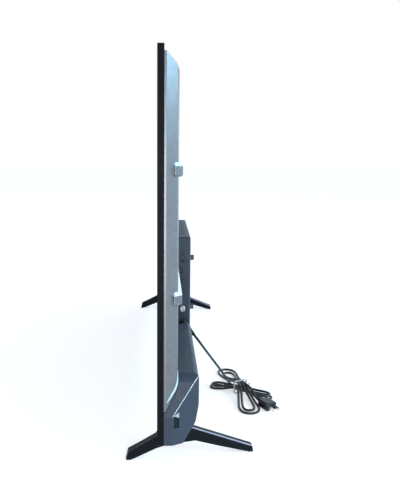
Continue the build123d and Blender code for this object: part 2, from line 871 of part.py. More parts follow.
def audio_jacks():
    """Two round jacks with plastic bodies."""
    jacks = []
    x1 = box_near - cover_wall - running_gap
    for height in av_heights:
        middle_y = board_back + av_body / 2
        body = block(x1 - av_reach, x1, board_back, board_back + av_body,
                     height - av_body / 2, height + av_body / 2)
        nose = rod(av_body / 2 - 2 * shell_thickness, (x1, middle_y, height),
                   (box_near - socket_reveal, middle_y, height))
        bore = rod(av_bore, (x1 - av_reach * 2 / 3, middle_y, height),
                   (box_near + cut_overrun, middle_y, height))
        jacks.append(body + nose - bore)
    return jacks


def antenna_socket():
    """The threaded antenna socket in its metal can, with a relief between its thread and the cover."""
    x1 = box_near - cover_wall - running_gap
    thread_start = box_near + antenna_relief
    can = block(x1 - antenna_base, x1, board_back, antenna_y + antenna_base / 2,
                antenna_height - antenna_base / 2 + running_gap, antenna_height + antenna_base / 2)
    barrel = rod(antenna_radius, (thread_start, antenna_y, antenna_height),
                 (box_near + antenna_reach, antenna_y, antenna_height))
    neck = rod(antenna_radius - shell_thickness, (x1, antenna_y, antenna_height),
               (thread_start, antenna_y, antenna_height))
    bore = rod(antenna_radius / 2, (box_near, antenna_y, antenna_height),
               (box_near + antenna_reach + cut_overrun, antenna_y, antenna_height))
    contact = rod(shell_thickness, (box_near - shell_thickness, antenna_y, antenna_height),
                  (box_near + antenna_reach - cover_wall, antenna_y, antenna_height))
    return can + neck + barrel - bore + contact


def board(near, far, low, high, places):
    """A circuit board with its screw holes and room for the wall mount spacers."""
    body = block(far, near, board_front, board_back, low, high)
    for x, z in places:
        if far < x < near and low < z < high:
            body -= rod_back(x, z, screw_hole_radius, board_front - cut_overrun, board_back + cut_overrun)
    for x, z in mount_places:
        body -= rod_back(x, z, spacer_radius + mount_clearance, board_front - cut_overrun, board_back + cut_overrun)
    return body


def board_stands():
    """Hollow standoffs under the corners of the boards."""
    stands = []
    for x, z in stand_places():
        stand = rod_back(x, z, stand_radius, tray_depth, board_front)
        stands.append(stand - rod_back(x, z, screw_hole_radius, tray_floor, board_back))
    return stands


def on_board(x, z, width, height, rise):
    """A part standing on the back of a board."""
    return block(x - width / 2, x + width / 2, board_back, board_back + rise, z - height / 2, z + height / 2)


def main_board_chips():
    """Processor, memory, tuner can and small chips, placed as shares of the main board."""
    width = main_near - main_far
    height = main_high - main_low
    chips = []
    for x_share, z_share, width_share, height_share, rise_share in [processor_shares] + chip_shares:
        chips.append(on_board(main_far + width * x_share, main_low + height * z_share,
                              width * width_share, height * height_share,
                              (box_depth - board_back) * rise_share))
    return chips


def main_heatsink():
    """A finned block on the processor."""
    width = main_near - main_far
    height = main_high - main_low
    x_share, z_share, width_share, height_share, rise_share = processor_shares
    x = main_far + width * x_share
    z = main_low + height * z_share
    seat = board_back + (box_depth - board_back) * rise_share
    half = heatsink_size / 2
    base = block(x - half, x + half, seat, seat + heatsink_base, z - half, z + half)
    pitch = (heatsink_size - fin_thickness) / (fin_count - 1)
    fins = [block(place - fin_thickness / 2, place + fin_thickness / 2, seat + heatsink_base,
                  seat + heatsink_height, z - half, z + half)
            for place in even_places(fin_count, x, pitch)]
    return base + fins


def power_parts():
    """Small parts of the power board, as shares of the board and of the room behind it."""
    width = power_near - power_far
    height = power_high - power_low
    room = box_depth - cover_wall - board_back
    return [on_board(power_far + width * x_share, power_low + height * z_share, width * width_share,
                     height * height_share, room * rise_share)
            for x_share, z_share, width_share, height_share, rise_share in power_part_shares]


def power_transformer():
    """The wound transformer: a core with its bobbin."""
    width = power_near - power_far
    height = power_high - power_low
    room = box_depth - cover_wall - board_back
    core, bobbin = [
        on_board(power_far + width * x_share, power_low + height * z_share, width * width_share,
                 height * height_share, room * rise_share)
        for x_share, z_share, width_share, height_share, rise_share in transformer_shares
    ]
    return core + bobbin


def power_capacitors():
    """Round capacitors lying by the transformer."""
    width = power_near - power_far
    height = power_high - power_low
    room = box_depth - cover_wall - board_back
    cans = []
    for x_share, z_share, radius_share in capacitor_shares:
        x = power_far + width * x_share
        z = power_low + height * z_share
        cans.append(rod_back(x, z, height * radius_share, board_back, board_back + room * capacitor_rise_share))
    return cans


def board_screws():
    """Screws that hold the boards on their standoffs."""
    return [screw(x, z, board_back, pilot_length) for x, z in stand_places()]


def cover_screws():
    """Screws at the bottom of the wells, into the tray."""
    seat = tray_depth + well_floor + running_gap
    return [screw(x, z, seat, seat - tray_floor + screw_tip) for x, z, depth in well_places()]


def mount_straps():
    """Two steel straps over the lower rib, bent down to the tray at their ends."""
    front = tray_depth + rib_stand + running_gap
    back = front + strap_thickness
    straps = []
    for side in (-1, 1):
        x = side * mount_spacing_x / 2
        x0 = x - strap_width / 2
        x1 = x + strap_width / 2
        strap = block(x0, x1, front, back, strap_low, strap_high)
        for edge, inward in ((strap_low, 1), (strap_high, -1)):
            web = sorted((edge, edge + inward * strap_thickness))
            foot = sorted((edge - inward * strap_foot, edge + inward * strap_thickness))
            strap += block(x0, x1, tray_depth, back, *web)
            strap += block(x0, x1, tray_depth, tray_depth + strap_thickness, *foot)
        strap -= [rod_back(px, pz, mount_bore, tray_floor, board_front) for px, pz in mount_places]
        straps.append(strap)
    return straps


def mount_spacers():
    """Hollow threaded spacers that stand out of the box for the wall bracket."""
    start = tray_depth + rib_stand + running_gap + strap_thickness
    end = box_depth + spacer_stand
    spacers = []
    for x, z in mount_places:
        tube = rod_back(x, z, spacer_radius, start, end)
        tube = chamfer(tube.edges().sort_by(Axis.Y)[-1], shell_thickness)
        spacers.append(tube - rod_back(x, z, mount_bore, start - cut_overrun, end + cut_overrun))
    return spacers


def speaker_boxes():
    """Closed boxes with the driver's opening facing down."""
    half = speaker_length / 2
    box = block(speaker_x - half, speaker_x + half, speaker_front, speaker_back, speaker_low + cone_width,
                speaker_high)
    box = fillet(along_edges(box, Axis.Z), box_edge_radius)
    return both_sides(box)


def speaker_drivers():
    """Long drivers with a shallow cone, under the boxes."""
    middle_y = (speaker_front + speaker_back) / 2 - running_gap
    top = speaker_low + cone_width - running_gap
    low = top - cone_width / 3
    frame = block(speaker_x - cone_length / 2, speaker_x + cone_length / 2,
                  middle_y - cone_width / 2, middle_y + cone_width / 2, low, top)
    frame = fillet(along_edges(frame, Axis.Z), cone_width / 3)
    dish = Plane.XY.offset(low) * SlotOverall(cone_length - cone_width / 2, cone_width * 2 / 3)
    inner = Plane.XY.offset(low + cone_width / 5) * SlotOverall(cone_length / 2, cone_width / 3)
    cone = loft([Pos(speaker_x, middle_y, 0) * dish, Pos(speaker_x, middle_y, 0) * inner])
    return both_sides(frame - cone)


def speaker_wires():
    """A thin lead from each speaker to the foot of the main board."""
    y = board_back + 2 * cable_radius()
    wires = []
    for side, drop in ((1, 0), (-1, 4 * cable_radius())):
        z = pocket_bottom - 2 * board_hole_inset - drop
        x = side * (speaker_x - speaker_length / 2)
        end_x = main_far + board_hole_inset * (8 + 2 * side)
        points = [(x, y, z), (end_x, y, z), (end_x, y, main_low - running_gap)]
        wires.append(tube_along(points, cable_radius(), [board_hole_inset]))
    return wires


def cable_radius():
    """Half the thickness of the small inner leads."""
    return shell_thickness * 3


def tube_along(points, radius, bends):
    """A round tube along straight runs joined by tangent arcs."""
    path = FilletPolyline(*points, radius=bends)
    start = Plane(origin=path @ 0, z_dir=path % 0)
    return sweep(start * Circle(radius), path=path)


def mains_leads():
    """The cord's two cores inside the box, from the boot to the power board."""
    leads = []
    for level in (-1, 1):
        offset = level * cable_radius() * lead_spread_share
        x0 = box_near - cover_wall - boot_flange_thickness
        z = boot_z + offset
        end_x = power_near - (power_near - power_far) * lead_end_share + offset * 2
        points = [(x0, boot_y + offset, z), (end_x, boot_y + offset, z),
                  (end_x, boot_y + offset, power_low + board_hole_inset)]
        leads.append(tube_along(points, cable_radius(), [board_hole_inset]))
    return leads


def screen_cable():
    """The flat cable from the main board down to the source boards."""
    x0 = main_far + board_hole_inset * 2
    x1 = x0 + ribbon_width * 2 / 3
    y1 = tray_depth + running_gap + source_board_thickness
    top = block(x0, x1, board_back, board_back + ribbon_thickness, main_low, main_low + board_hole_inset)
    step = block(x0, x1, y1, board_back + ribbon_thickness, main_low - ribbon_thickness, main_low)
    drop = block(x0, x1, y1, y1 + ribbon_thickness, source_board_z + ribbon_width / 2, main_low)
    link_z = source_board_z + ribbon_width / 2
    reach = source_board_x - source_board_length / 2 + board_hole_inset
    run = block(-reach, reach, y1, y1 + ribbon_thickness, link_z - board_hole_inset, link_z)
    return top + step + drop + run


def led_cable():
    """Leads from the power board through the tray's slot to the light strips."""
    x = box_middle
    z = low_top + vent_pitch / 2
    points = [(x, board_back + cable_radius(), power_low + board_hole_inset),
              (x, board_back + cable_radius(), z), (x, tray_floor - running_gap, z)]
    return tube_along(points, cable_radius(), [cable_radius() * 2])


def wifi_module():
    """The small radio board at the upper edge of the main board."""
    x = main_far + (main_near - main_far) * wifi_place_share
    return on_board(x, main_high - wifi_drop, wifi_width, wifi_height, board_thickness)


def remote_window():
    """The dark window in the chin for the remote receiver."""
    return block(-window_width / 2, window_width / 2, running_gap, bezel_depth,
                 window_z(), window_z() + window_height)


def remote_board():
    """The receiver's small board, behind the window."""
    half = window_width
    z0 = low_bottom + cover_wall + running_gap
    return block(-half, half, bezel_depth + running_gap, bezel_depth + running_gap + board_thickness,
                 z0, z0 + window_height * 2)


def power_button():
    """The round button under the set, held by its flange inside the cover."""
    top = low_bottom + cover_wall + running_gap
    stem = rod(button_radius, (button_x, button_y, low_bottom - button_proud),
               (button_x, button_y, top + button_flange / 2))
    stem = fillet(stem.edges().sort_by(Axis.Z)[0], button_proud / 2)
    flange = rod(button_radius + button_flange, (button_x, button_y, top),
                 (button_x, button_y, top + button_flange))
    return stem + flange


def button_switch():
    """The push switch over the button, on its own small board."""
    face = low_bottom + cover_wall + running_gap + button_flange + button_travel + running_gap
    plunger = rod(button_radius / 2, (button_x, button_y, face),
                  (button_x, button_y, face + button_flange))
    body = block(button_x - button_radius, button_x + button_radius, button_y - button_radius,
                 button_y + button_radius, face + button_flange, face + 2 * button_flange)
    card = block(button_x - 3 * button_radius, button_x + 3 * button_radius, bezel_depth + running_gap,
                 tray_depth - running_gap, face + 2 * button_flange, tray_bottom - running_gap)
    return plunger + body + card


def cord_boot():
    """The rubber boot where the cord leaves the wall: flange, neck, elbow and ribbed taper."""
    inside = box_near - cover_wall
    neck_end = (box_near + boot_x_out, boot_y, boot_z)
    flange = rod(boot_flange_radius, (inside - boot_flange_thickness, boot_y, boot_z), (inside, boot_y, boot_z))
    neck = rod(boot_neck_radius, (inside - boot_flange_thickness, boot_y, boot_z), neck_end)
    elbow = Pos(*neck_end) * Sphere(boot_root_radius)
    root = Plane(origin=neck_end, z_dir=boot_turn)
    taper = loft([root * Circle(boot_root_radius), root.offset(boot_length) * Circle(boot_tip_radius)])
    boot = flange + neck + elbow + taper
    groove_width = boot_length / boot_divisions / 3
    for index in range(2, boot_divisions - 1):
        depth_share = index / boot_divisions
        radius = boot_root_radius + (boot_tip_radius - boot_root_radius) * depth_share
        start = root.offset(boot_length * depth_share)
        groove = extrude(start * Circle(radius * 2), amount=groove_width)
        groove -= extrude(start * Circle(radius - boot_groove_depth), amount=groove_width)
        boot -= groove
    return boot


def cord_start():
    """The point where the cord comes out of the boot."""
    base = Vector(box_near + boot_x_out, boot_y, boot_z)
    return base + Vector(*boot_turn).normalized() * boot_length


# Arms of the hank from its waist, each with its heading in degrees and where its strands start to climb
arm_headings = {"e": 53.0, "a": 244.0, "d": 3.0, "b": 190.5}
arm_climbs = {"e": 44.0, "a": 44.0, "d": 70.0, "b": 70.0}
fold_angle = 68.0
strand_shares = (0.0, 0.5)
spread_share = 1.15
least_apart_share = 2.2
strand_step = 5.3
waist_slot = 5.3
lead_slot = 0.9
outer_slot = 7.95
inner_slot = 2.65
last_slot = 2.0
fold_half_width = 10.5
outer_half_width = 17.8
straight_from_waist = 15.0
droop_start = 24.0
droop_end = 62.0
waist_arch = 0.7
floor_rest = 0.2
tie_room = tie_thickness + 2 * tie_gap
lead_points = [(187.0, 89.0, 88.0), (185.0, 104.0, 67.5), (179.8, 117.5, 48.0), (174.2, 130.0, 28.5)]
waist_lead = [(22.0, 0.3, 12.6), (12.5, 0.6, 5.9)]
waist_entry = 3.0
plug_lead = [(14.0, 0.5, 20.9), (28.0, 2.2, 18.9), (38.5, 2.0, 12.2), (47.0, 0.0, 7.7)]

# Visits in order: arm, reach, half width, slot going out, slot coming back, layer out, layer back
hank_visits = [
    ("e", 64.0, fold_half_width, lead_slot, waist_slot, 0, 0),
    ("a", 62.0, fold_half_width, waist_slot, waist_slot, 0, 1),
    ("e", 60.0, fold_half_width, waist_slot, waist_slot, 1, 1),
    ("a", 59.0, fold_half_width, waist_slot, waist_slot, 1, 2),
    ("d", 103.0, outer_half_width, outer_slot, outer_slot, 2, 2),
    ("b", 117.0, outer_half_width, outer_slot, inner_slot, 2, 2),
    ("d", 90.0, fold_half_width, inner_slot, inner_slot, 2, 2),
    ("b", 98.0, fold_half_width, inner_slot, -last_slot, 2, 3),
]


def smooth(value):
    """A gentle step from nought to one."""
    held = min(max(value, 0.0), 1.0)
    return held * held * (3 - 2 * held)


def layer_height(along, layer, drooping):
    """The height of a strand's middle at a distance from the waist."""
    rest = floor_rest + cord_diameter / 2
    if drooping:
        top = rest + tie_room + waist_arch + layer * strand_step
        return top + (rest + max(layer - 2, 0) * strand_step - top) * smooth(
            (along - droop_start) / (droop_end - droop_start))
    lift = tie_room * (1 - smooth((along - straight_from_waist) / droop_start))
    return rest + lift + layer * strand_step


def arm_point(arm, along, aside, height):
    """A point given along and to the left of an arm of the hank."""
    angle = math.radians(arm_headings[arm])
    x = waist_x + along * math.cos(angle) - aside * math.sin(angle)
    y = waist_y + along * math.sin(angle) + aside * math.cos(angle)
    return (x, y, height)


def arm_visit(arm, reach, half, slot_out, slot_back, layer_out, layer_back):
    """The route out along one side of an arm, round its fold and back along the other."""
    drooping = arm in ("b", "d")
    centre = reach - half
    corner = half / math.cos(math.radians(fold_angle / 2))
    points = []
    for side, slot, layer in ((-1, slot_out, layer_out), (1, slot_back, layer_back)):
        strand = []
        for share in strand_shares:
            along = straight_from_waist + (centre - straight_from_waist) * share
            aside = slot + (half - slot) * smooth(share * spread_share)
            climbed = smooth((arm_climbs[arm] - along) / (arm_climbs[arm] - straight_from_waist))
            level = layer_out + (layer - layer_out) * climbed
            strand.append(arm_point(arm, along, side * aside, layer_height(along, level, drooping)))
        points.append(strand)
    fold = []
    for angle in (-fold_angle, 0, fold_angle):
        along = centre + corner * math.cos(math.radians(angle))
        aside = corner * math.sin(math.radians(angle))
        fold.append(arm_point(arm, along, aside, layer_height(along, layer_out, drooping)))
    return points[0] + fold + points[1][::-1]


def hank_route():
    """Every point of the hank's route, from the lead to the plug."""
    entry = [arm_point("a", *place) for place in waist_lead]
    join = tuple((end + start) / 2 for end, start in zip(lead_points[-1], entry[0]))
    route = [join] + entry
    route.append(arm_point("a", waist_entry, lead_slot, layer_height(waist_entry, 0, False)))
    for visit in hank_visits:
        route += arm_visit(*visit)
    for along, aside, height in plug_lead:
        route.append(plug_point(along - plug_start, aside, height))
    route.append(plug_point(0.0, 0.0, plug_middle()))
    return route


def plug_middle():
    """The height of the plug's middle as it lies flat."""
    return floor_rest + plug_thickness / 2


def plug_point(along, aside, height):
    """A point given along the plug from where the cord meets it."""
    heading = math.radians(plug_heading)
    x = waist_x + (plug_start + along) * math.cos(heading) - aside * math.sin(heading)
    y = waist_y + (plug_start + along) * math.sin(heading) + aside * math.cos(heading)
    return (x, y, height)


def bend_radii(points, share=0.45):
    """For each corner, the largest arc that its two runs allow."""
    radii = []
    for before, corner, after in zip(points, points[1:], points[2:]):
        first = Vector(*corner) - Vector(*before)
        second = Vector(*after) - Vector(*corner)
        half_turn = math.radians(first.get_angle(second)) / 2
        radii.append(share * min(first.length, second.length) / math.tan(half_turn))
    return radii


def cord_tube(points):
    """A tube of the cord's thickness along a route."""
    return tube_along(points, cord_diameter / 2, bend_radii(points))


def cord_lead_route():
    """The free cord's route from the boot down to the hank."""
    start = cord_start()
    along = start + Vector(*boot_turn).normalized() * cord_diameter * 3
    return [tuple(start), tuple(along)] + lead_points + [hank_route()[0]]


def cord_tie():
    """The twist tie round the hank's waist, with its two twisted ends."""
    low = floor_rest
    high = floor_rest + cord_diameter + 3 * strand_step + tie_thickness * 2 + tie_gap * 3 + waist_arch
    half = tie_half + tie_thickness
    outer = block(-tie_width / 2, tie_width / 2, -half, half, low, high)
    outer = fillet(along_edges(outer, Axis.X), tie_corner)
    inner = block(-tie_width, tie_width, tie_thickness - half, half - tie_thickness,
                  low + tie_thickness, high - tie_thickness)
    inner = fillet(along_edges(inner, Axis.X), tie_corner - tie_thickness)
    band = outer - inner
    stub = block(-tie_width / 2, tie_width / 2, half - tie_thickness / 2, half + cord_diameter * 2,
                 high / 2 - tie_thickness, high / 2 + tie_thickness)
    turned = Rot(0, 0, tie_heading) * (Pos(0, -tie_shift, 0) * (band + stub))
    return Pos(waist_x, waist_y, 0) * turned


def plug_body():
    """The moulded two-blade plug with its tapered relief."""
    body = block(0, plug_length, -plug_width / 2, plug_width / 2, -plug_thickness / 2, plug_thickness / 2)
    body = fillet(body.edges().filter_by(Axis.X), plug_thickness / 4)
    rear = [edge for edge in body.faces().sort_by(Axis.X)[0].edges()]
    body = chamfer(rear, plug_thickness / 5)
    wide = Plane(origin=(plug_length / 8, 0, 0), z_dir=(-1, 0, 0))
    tip = Plane(origin=(-plug_relief, 0, 0), z_dir=(-1, 0, 0))
    relief = loft([wide * Circle(plug_root_radius), tip * Circle(plug_tip_radius)])
    plug = body + relief
    pitch_share = 1 / (plug_relief_grooves + 2)
    for index in range(1, plug_relief_grooves + 1):
        x = plug_relief * (index * pitch_share - 1)
        radius = plug_tip_radius + (plug_root_radius - plug_tip_radius) * index * pitch_share
        end = x + plug_relief_groove
        groove = rod(radius * 2, (x, 0, 0), (end, 0, 0))
        plug -= groove - rod(radius - shell_thickness, (x, 0, 0), (end, 0, 0))
    return place_plug(plug)


def plug_blades():
    """Two flat blades in the face of the plug, each with its hole."""
    blades = []
    for side in (-1, 1):
        y = side * blade_spacing / 2
        blade = block(plug_length, plug_length + blade_length, y - blade_thickness / 2,
                      y + blade_thickness / 2, -blade_width / 2, blade_width / 2)
        tip = plug_length + blade_length * blade_hole_share
        blade -= rod(blade_thickness, (tip, y - blade_width, 0), (tip, y + blade_width, 0))
        blades.append(place_plug(blade))
    return blades


def place_plug(shape):
    """From the plug's own frame to where it lies on the floor."""
    return Pos(*plug_point(plug_relief, 0.0, plug_middle())) * Rot(0, 0, plug_heading) * shape


def least_gap(points, diameter):
    """The smallest clear distance between parts of one tube that lie apart along its length."""
    path = FilletPolyline(*points, radius=bend_radii(points))
    count = int(path.length / (diameter / 3))
    spots = [path @ (index / count) for index in range(count + 1)]
    far_apart = int(least_apart_share * diameter / (path.length / count))
    best = path.length
    for index, spot in enumerate(spots):
        for other in spots[index + far_apart:]:
            if abs(spot.Z - other.Z) < 2 * diameter and abs(spot.X - other.X) < 2 * diameter:
                best = min(best, (spot - other).length)
    return best - diameter


def write(node, shape):
    """Move a node to the set's frame and write it."""
    solids = shape if isinstance(shape, list) else [shape]
    moved = [Pos(0, front_y, 0) * solid for solid in solids]
    result = moved[0] if len(moved) == 1 else Compound(children=moved)
    export_step(result, os.path.join("parts", node + ".step"))


def build():
    """Make every node of the set."""
    os.makedirs("parts", exist_ok=True)
    foot = right_foot()
    lead = cord_lead_route()
    hank = hank_route()
    nodes = {
        "front_bezel": front_bezel(),
        "lcd_front_glass": sheet_between(glass_front, glass_front + glass_thickness, glass_bottom + bond_ledge),
        "lcd_rear_glass": sheet_between(glass_front + glass_thickness, glass_back, glass_bottom),
        "panel_frame": panel_frame(),
        "diffuser_sheet": film(ledge_back, ledge_back + film_thickness),
        "prism_sheet": film(ledge_back + film_thickness, ledge_back + 2 * film_thickness),
        "diffuser_plate": film(plate_back - plate_thickness, plate_back),
        "support_posts": support_posts(),
        "reflector_sheet": reflector_sheet(),
        "led_strips": led_strips(),
        "led_lenses": led_lenses(),
        "rear_tray": rear_tray(),
        "source_boards": source_boards(),
        "panel_ribbons": panel_ribbons(),
        "screen_cable": screen_cable(),
        "board_stands": board_stands(),
        "main_board": board(main_near, main_far, main_low, main_high, stand_places()),
        "main_board_chips": main_board_chips(),
        "main_heatsink": main_heatsink(),
        "wifi_module": wifi_module(),
        "hdmi_sockets": hdmi_sockets(),
        "usb_socket": usb_socket(),
        "audio_jacks": audio_jacks(),
        "antenna_socket": antenna_socket(),
        "power_board": board(power_near, power_far, power_low, power_high, stand_places()),
        "power_parts": power_parts(),
        "power_transformer": power_transformer(),
        "power_capacitors": power_capacitors(),
        "board_screws": board_screws(),
        "led_cable": led_cable(),
        "mains_leads": mains_leads(),
        "speaker_boxes": speaker_boxes(),
        "speaker_drivers": speaker_drivers(),
        "speaker_wires": speaker_wires(),
        "remote_board": remote_board(),
        "remote_window": remote_window(),
        "power_button": power_button(),
        "button_switch": button_switch(),
        "rear_cover": rear_cover(),
        "cover_screws": cover_screws(),
        "wall_mount_straps": mount_straps(),
        "wall_mount_spacers": mount_spacers(),
        "right_foot": foot,
        "left_foot": mirror(foot, about=Plane.YZ),
        "foot_pads": foot_pads(),
        "foot_screws": foot_screws(),
        "foot_brackets": foot_brackets(),
        "cord_boot": cord_boot(),
        "cord_lead": cord_tube(lead),
        "cord_hank": cord_tube(hank),
        "cord_tie": cord_tie(),
        "plug_body": plug_body(),
        "plug_blades": plug_blades(),
    }
    for node, shape in nodes.items():
        write(node, shape)
    for name, route in (("lead", lead), ("hank", hank)):
        radii = bend_radii(route)
        print(name, "radii", [round(radius, 1) for radius in radii], "least", round(min(radii), 1))
        path = FilletPolyline(*route, radius=radii)
        print(name, "length", round(path.length, 1), "least gap", round(least_gap(route, cord_diameter), 2))


build()
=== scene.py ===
import json
import math

import bmesh
import bpy
from mathutils import Matrix, Vector

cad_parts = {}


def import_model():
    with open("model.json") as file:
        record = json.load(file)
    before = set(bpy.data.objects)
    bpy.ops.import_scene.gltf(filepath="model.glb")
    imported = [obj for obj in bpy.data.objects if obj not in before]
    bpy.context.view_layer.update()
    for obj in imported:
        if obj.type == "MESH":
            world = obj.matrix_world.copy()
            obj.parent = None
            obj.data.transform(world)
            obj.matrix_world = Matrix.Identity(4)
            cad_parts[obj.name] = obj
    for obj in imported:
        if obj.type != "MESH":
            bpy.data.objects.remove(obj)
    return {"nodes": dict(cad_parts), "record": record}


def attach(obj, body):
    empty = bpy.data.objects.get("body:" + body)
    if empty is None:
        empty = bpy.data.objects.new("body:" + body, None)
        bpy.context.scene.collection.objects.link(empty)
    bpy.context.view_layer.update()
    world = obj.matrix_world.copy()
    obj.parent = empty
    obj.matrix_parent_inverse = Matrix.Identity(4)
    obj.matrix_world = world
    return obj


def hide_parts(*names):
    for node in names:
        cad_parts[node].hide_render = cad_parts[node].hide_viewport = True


# A flat television seen along its edge, with its metal back, black housing and tied cord.
# Sizes are in metres, in the frame of the set: x along the screen, y to the back, z up.

MM = 0.001

# Camera
camera_place = (1362.6 * MM, -49.0 * MM, 488.8 * MM)
camera_yaw = math.radians(3.70)
camera_pitch = math.radians(-10.13)
camera_roll = math.radians(0.70)
camera_lens = 46.67
camera_sensor = 36.0
nearest_seen = 10 * MM

# Surroundings: each lamp is a place, a side length, a power and a colour
floor_size = 16.0
floor_colour = (0.93, 0.94, 0.95)
floor_glow_share = 0.54
sky_colour = (0.93, 0.97, 1.0)
sky_share = 0.50
mirrored_colour = (0.80, 0.92, 1.0)
pale_blue = (0.45, 0.78, 1.0)
lavender = (0.55, 0.68, 1.0)
slate_white = (0.62, 0.82, 1.0)
plain_white = (1.0, 1.0, 1.0)
look_at = (0.0, 0.0, 0.3)
lamps = {
    "top": ((0.2, 0.3, 2.6), 2.2, 7.0, lavender),
    "back_side": ((1.55, 1.95, 1.15), 0.6, 33.0, pale_blue),
    "behind": ((0.0, 2.4, 0.2), 1.0, 34.0, slate_white),
    "near_end": ((1.7, 0.05, 0.3), 0.5, 6.0, plain_white),
    "front_side": ((1.7, -2.2, 1.5), 1.8, 5.0, plain_white),
    "far_side": ((-2.4, 1.2, 1.4), 2.0, 7.0, pale_blue),
}

# Ending of a finish's name, and the sockets that sit deep in the wall and get a darker metal as painted shade
finish_ending = "_finish"
shade_painted_sockets = ("hdmi_sockets", "usb_socket")

# Grain, relief and edge sizes of the finishes
fine_grain = 0.25 * MM
moulded_grain = 0.6 * MM
fine_relief = 0.01 * MM
moulded_relief = 0.04 * MM
crisp_edge = 0.3 * MM
soft_edge = 0.8 * MM
broad_edge = 1.4 * MM
dust_patch = 9 * MM
tone_patch = 45 * MM
wide_patch = 180 * MM
spangle_size = 7 * MM
spangle_grain = spangle_size / 3
rolling_line = 0.9 * MM
board_track = 9 * MM

# Tones of a finish, as shares of its colour
dark_share = 0.85
light_share = 1.15
dusty_share = 1.7
worn_share = 2.6
spangle_shares = (0.95, 1.05)
smudged_share = 0.82
metal_light_share = 1.1
metal_bright_share = 1.6
metal_brightest = 0.95
glass_shares = (0.9, 1.1)
second_track_share = 0.8
film_dark_share = 0.93

# Masks of the finishes: how much of a pattern is left out, where it is full, and how strong it is
plain_shares = (0.3, 0.7)
whole_shares = (0.0, 1.0)
dust_shares = (0.55, 0.85)
dust_strength_share = 0.5
spangle_mask_shares = (0.1, 0.8)
smudge_shares = (0.45, 0.8)
smudge_strength_share = 0.35
bloom_shares = (0.35, 0.75)
edge_shares = (0.90, 0.995)
# The next two are masks for painted highlights: faces that look up, and edges that look to the end and up
glare_paint_shares = (0.10, 0.35)
top_edge_highlight_shares = (0.40, 0.62)

# Roughness to either side of its middle, and how noise, stretch and relief are set
plastic_spread = (-0.06, 0.07)
sheet_spread = (-0.04, 0.06)
metal_spread = (-0.06, 0.1)
rubber_spread = (-0.1, 0.1)
glass_spread = (-0.03, 0.05)
film_spread = (0.0, 0.1)
board_roughness = (0.3, 0.45)
floor_roughness = 0.9
rubbed_share = 0.6
coated_metal_share = 0.9
coat_share = 0.15
plain_detail = 3.0
fine_detail = 2.0
patch_detail = 4.0
dust_detail = 5.0
noise_roughness = 0.55
bevel_samples = 6
board_gap_share = 0.02
rolling_stretch_shares = (0.02, 1.0, 1.0)
marks_stretch_shares = (1.0, 1.0, 6.0)
moulded_strength = 0.6
metal_strength = 0.5
film_strength = 0.4
glass_strength = 0.3

# Housing's end: its crease runs up the slanted end from the near corner to the shoulder, with a pale bead on
# it as a painted highlight; its recess gets a dark plate as painted shade and a pale ramp as a painted
# highlight
end_half_width = 482.0 * MM
end_taper = 20.0 * MM
end_near_y = 22.4 * MM
end_far_y = 61.6 * MM
crease_low = 85.0 * MM
crease_high = 142.0 * MM
crease_shares = (0.0, 0.04, 0.48, 0.9216, 0.96)
crease_bead = 0.42 * MM
crease_tip = crease_bead / 4
crease_across = Vector((0.0, 0.8, -0.6))
crease_points = 10
recess_span = (24.2 * MM, 32.3 * MM)
recess_heights = (66.2 * MM, 82.0 * MM)
ramp_heights = (81.6 * MM, 86.0 * MM, 89.8 * MM)
recess_depth = 1.0 * MM
face_thickness = 0.12 * MM
ramp_thickness = 0.48 * MM
plate_rim_share = 0.94

# Tray's slanted end, and the pale strip along its rolled lower corner, a painted highlight, as (y, z) points
# in millimetres
tray_half_width = 481.2 * MM
tray_near_y = 9.4 * MM
tray_back_y = 30.1 * MM
tray_taper = 13.2 * MM
rolled_points = [(30.1, 152.0), (30.1, 140.0), (29.4, 131.0), (26.6, 123.5), (21.6, 116.2), (16.6, 108.9),
                 (13.8, 105.2)]
rolled_widths = (0.15 * MM, 1.0 * MM, 1.5 * MM, 1.7 * MM, 1.7 * MM, 1.4 * MM, 0.3 * MM)
rolled_rise = 0.5 * MM
rolled_count = 12
rolled_levels = 2

# Screws with a cross recess, as shares of the head's radius
screw_points = 48
head_share = 0.6
rim_share = 0.2
crown_depth_share = 0.05
crown_share = 0.88
crown_flat_share = 0.70
shank_share = 0.45
shank_tip_share = 0.1125
cross_arm_share = 0.5
cross_width_share = 0.14
cross_depth_share = 0.34
cross_floor_share = 0.8
least_turn_share = 0.001
joined_digits = 6

# The axis that each node's screws lie along, and the end of their box that the head is at
screw_axes = {"cover_screws": (1, 1), "foot_screws": (2, 0)}

# Thread of the antenna socket's barrel
antenna_start = (152.3 * MM, 47.6 * MM, 158.5 * MM)
antenna_radius = 4.7 * MM
thread_pitch = 0.8 * MM
thread_turns = 11
thread_steps = 28
thread_height = 0.28 * MM
thread_half = thread_pitch / 3
thread_sunk = thread_height / 2
thread_reach = thread_height * 3 / 2

# Mains cord, as it leaves the boot and as it is folded and tied
front_y = -51.3 * MM
cord_diameter = 4.6 * MM
cord_order = 3
cord_steps = 8
cord_roundness = 6
boot_start = (157.0 * MM, 51.7 * MM, 130.5 * MM)
boot_turn = Vector((0.584, 0.565, -0.584)).normalized()
boot_length = 32.0 * MM
waist_x = 187.0 * MM
waist_y = 161.0 * MM
arm_headings = {"e": 53.0, "a": 244.0, "d": 3.0, "b": 190.5}
arm_climbs = {"e": 44.0 * MM, "a": 44.0 * MM, "d": 70.0 * MM, "b": 70.0 * MM}
strand_step = 5.3 * MM
waist_slot = 5.3 * MM
lead_slot = 0.9 * MM
outer_slot = 7.95 * MM
inner_slot = 2.65 * MM
last_slot = 2.0 * MM
fold_half_width = 10.5 * MM
outer_half_width = 17.8 * MM
straight_from_waist = 15.0 * MM
droop_start = 24.0 * MM
droop_end = 62.0 * MM
waist_arch = 0.7 * MM
floor_rest = 0.2 * MM
lowest_layers = 2
tie_room = 1.8 * MM
plug_heading = 26.5
plug_start = 54.0 * MM
plug_thickness = 15.0 * MM
fold_angle = 68.0
strand_shares = (0.0, 0.5)
spread_share = 1.15
waist_entry = 3.0 * MM
first_run_diameters = 3

